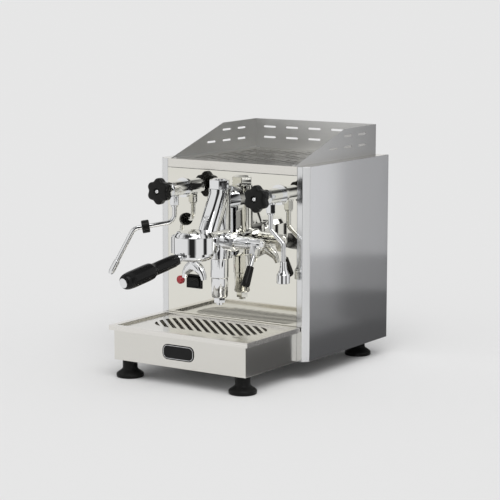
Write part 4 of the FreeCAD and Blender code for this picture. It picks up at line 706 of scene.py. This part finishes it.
def treeWith(name, inputs):
    tree = bpy.data.node_groups.new(name, "GeometryNodeTree")
    tree.interface.new_socket(name="Geometry", in_out="INPUT", socket_type="NodeSocketGeometry")
    made = {}
    for label, (kind, value) in inputs.items():
        item = tree.interface.new_socket(name=label, in_out="INPUT", socket_type=kind)
        if value is not None:
            item.default_value = value
        made[label] = item.identifier
    tree.interface.new_socket(name="Geometry", in_out="OUTPUT", socket_type="NodeSocketGeometry")
    bench = Bench(tree)
    return tree, bench, bench.node("NodeGroupInput"), made


def meshFromTree(name, tree, made, values, source):
    holder = bpy.data.objects.new(name + "Holder", source)
    scene.collection.objects.link(holder)
    modifier = holder.modifiers.new("tree", "NODES")
    modifier.node_group = tree
    for label, value in values.items():
        modifier[made[label]] = value
    bpy.context.view_layer.update()
    evaluated = holder.evaluated_get(bpy.context.evaluated_depsgraph_get())
    mesh = bpy.data.meshes.new_from_object(evaluated)
    holder.modifiers.clear()
    bpy.data.objects.remove(holder)
    return mesh


def knobTree():
    kind = "NodeSocketFloat"
    tree, bench, group, made = treeWith("starKnob", {
        "Radius": (kind, 0.02), "Depth": (kind, 0.015), "Lobes": (kind, 6.0), "Scallop": (kind, 0.15),
        "Edge": (kind, 0.16), "Crown": (kind, 0.002), "Dish": (kind, 0.003),
        "Finish": ("NodeSocketMaterial", None)})
    entry = {label: bench.number(group, label) for label in made if label != "Finish"}
    blank = bench.node("GeometryNodeMeshCylinder", {"fill_type": "TRIANGLE_FAN"},
                       {"Vertices": 144, "Side Segments": 16, "Fill Segments": 10, "Radius": 1.0,
                        "Depth": 1.0})
    split = bench.node("ShaderNodeSeparateXYZ", values={0: bench.node("GeometryNodeInputPosition").outputs[0]})
    x, y, z = (bench.number(split, k) for k in range(3))
    turn = y.math("ARCTAN2", x)
    scallop = 0.5 - 0.5 * (turn * entry["Lobes"]).math("COSINE")
    flat = (x * x + y * y).math("SQRT")
    drop = (z * 2.0).math("ABSOLUTE") ** 6.0
    size = entry["Radius"] * (1.0 - entry["Scallop"] * scallop ** 1.3) * (1.0 - entry["Edge"] * drop * flat)
    rise = (z > 0.49) * (entry["Crown"] * (1.0 - flat ** 3.0) - entry["Dish"] * (flat < 0.29))
    place = bench.node("ShaderNodeCombineXYZ", values={0: x * size, 1: y * size,
                                                       2: (z - 0.5) * entry["Depth"] + rise - entry["Crown"]})
    moved = bench.node("GeometryNodeSetPosition", values={"Geometry": blank.outputs["Mesh"],
                                                          "Position": place.outputs[0]})
    smooth = bench.node("GeometryNodeSetShadeSmooth", values={"Geometry": moved.outputs[0]})
    whole = bench.node("GeometryNodeRealizeInstances", values={"Geometry": smooth.outputs[0]})
    done = bench.node("GeometryNodeSetMaterial", values={"Geometry": whole.outputs[0],
                                                         "Material": group.outputs["Finish"]})
    bench.node("NodeGroupOutput", values={"Geometry": done.outputs[0]})
    return tree, made


def makeKnobs():
    tree, made = knobTree()
    for node, side in (("steam_knob", -1), ("hot_water_knob", 1)):
        star = meshFromTree(node, tree, made, {
            "Radius": knobSettings["radius"] * mm, "Depth": knobSettings["depth"] * mm,
            "Lobes": knobSettings["lobes"],
            "Scallop": knobSettings["scallop"], "Edge": knobSettings["edge"],
            "Crown": knobSettings["crown"] * mm, "Dish": knobSettings["dish"] * mm,
            "Finish": finishes["black"]}, bpy.data.meshes.new(node + "Seed"))
        bm = bmesh.new()
        bm.from_mesh(star)
        bmesh.ops.remove_doubles(bm, verts=bm.verts, dist=1e-6)
        for face in bm.faces:
            face.material_index = 0
        placed = pointing((side * knobSettings["x"], knobSettings["face"], knobSettings["height"]),
                          (0, -1, 0),
                          math.radians(knobSettings["turn"]))
        bmesh.ops.transform(bm, matrix=placed, verts=bm.verts)
        front = knobSettings["face"]
        screw = pointing((side * knobSettings["x"], front + 1.0, knobSettings["height"]), (0, -1, 0))
        addTurned(bm, rounded(knobSettings["screw"], knobSettings["screwRound"]), screw, 32, 1)
        addTurned(bm, rounded(knobSettings["collar"], knobSettings["collarRound"]), screw, 48, 0)
        addTurned(bm, knobSettings["spindle"], screw, 32, 1)
        settle(node.replace("_", "-") + "-star", bm, [node], [finishes["black"], finishes["chrome"]],
               angle=48)


makeKnobs()
print("knobs made")


# Back panel screws.

screwSettings = {"head": 3.4, "proud": 1.9, "slot": 0.7, "slotDepth": 1.1}


def makeScrews():
    kind = "NodeSocketFloat"
    tree, bench, group, made = treeWith("slottedScrews", {
        "Head": (kind, 0.003), "Proud": (kind, 0.002), "Slot": (kind, 0.0007), "Slot Depth": (kind, 0.001),
        "Finish": ("NodeSocketMaterial", None)})
    entry = {label: bench.number(group, label) for label in made if label != "Finish"}
    dome = bench.node("GeometryNodeMeshUVSphere", values={"Segments": 24, "Rings": 12, "Radius": 1.0})
    flatSize = bench.node("ShaderNodeCombineXYZ", values={0: entry["Head"], 1: entry["Head"],
                                                          2: entry["Proud"]})
    head = bench.node("GeometryNodeTransform", values={"Geometry": dome.outputs[0],
                                                       "Scale": flatSize.outputs[0]})
    cutSize = bench.node("ShaderNodeCombineXYZ", values={0: entry["Slot"], 1: entry["Head"] * 3.0,
                                                         2: entry["Slot Depth"] * 2.0})
    cutter = bench.node("GeometryNodeMeshCube", values={"Size": cutSize.outputs[0]})
    lift = bench.node("ShaderNodeCombineXYZ", values={2: entry["Proud"]})
    lifted = bench.node("GeometryNodeTransform", values={"Geometry": cutter.outputs[0],
                                                         "Translation": lift.outputs[0]})
    slotted = bench.node("GeometryNodeMeshBoolean", {"operation": "DIFFERENCE"},
                         {0: head.outputs[0], 1: lifted.outputs[0]})
    turned = bench.node("GeometryNodeTransform", values={"Geometry": slotted.outputs[0],
                                                         "Rotation": (-math.pi / 2, 0, 0)})
    spread = bench.node("GeometryNodeInstanceOnPoints", values={"Points": group.outputs["Geometry"],
                                                                "Instance": turned.outputs[0]})
    whole = bench.node("GeometryNodeRealizeInstances", values={"Geometry": spread.outputs[0]})
    done = bench.node("GeometryNodeSetMaterial", values={"Geometry": whole.outputs[0],
                                                         "Material": group.outputs["Finish"]})
    bench.node("NodeGroupOutput", values={"Geometry": done.outputs[0]})
    low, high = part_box("panel_screws")
    x = high.x - screwSettings["head"] * mm
    levels = [low.z + screwSettings["head"] * mm, (low.z + high.z) / 2, high.z - screwSettings["head"] * mm]
    points = bpy.data.meshes.new("screwSpots")
    points.from_pydata([(side * x, low.y, level) for side in (-1, 1) for level in levels], [], [])
    mesh = meshFromTree("panelScrews", tree, made, {
        "Head": screwSettings["head"] * mm, "Proud": screwSettings["proud"] * mm,
        "Slot": screwSettings["slot"] * mm,
        "Slot Depth": screwSettings["slotDepth"] * mm, "Finish": finishes["steelPart"]}, points)
    bm = bmesh.new()
    bm.from_mesh(mesh)
    for face in bm.faces:
        face.material_index = 0
    settle("panelScrews", bm, ["panel_screws"], finishes["steelPart"], angle=40)


makeScrews()
print("screws made")
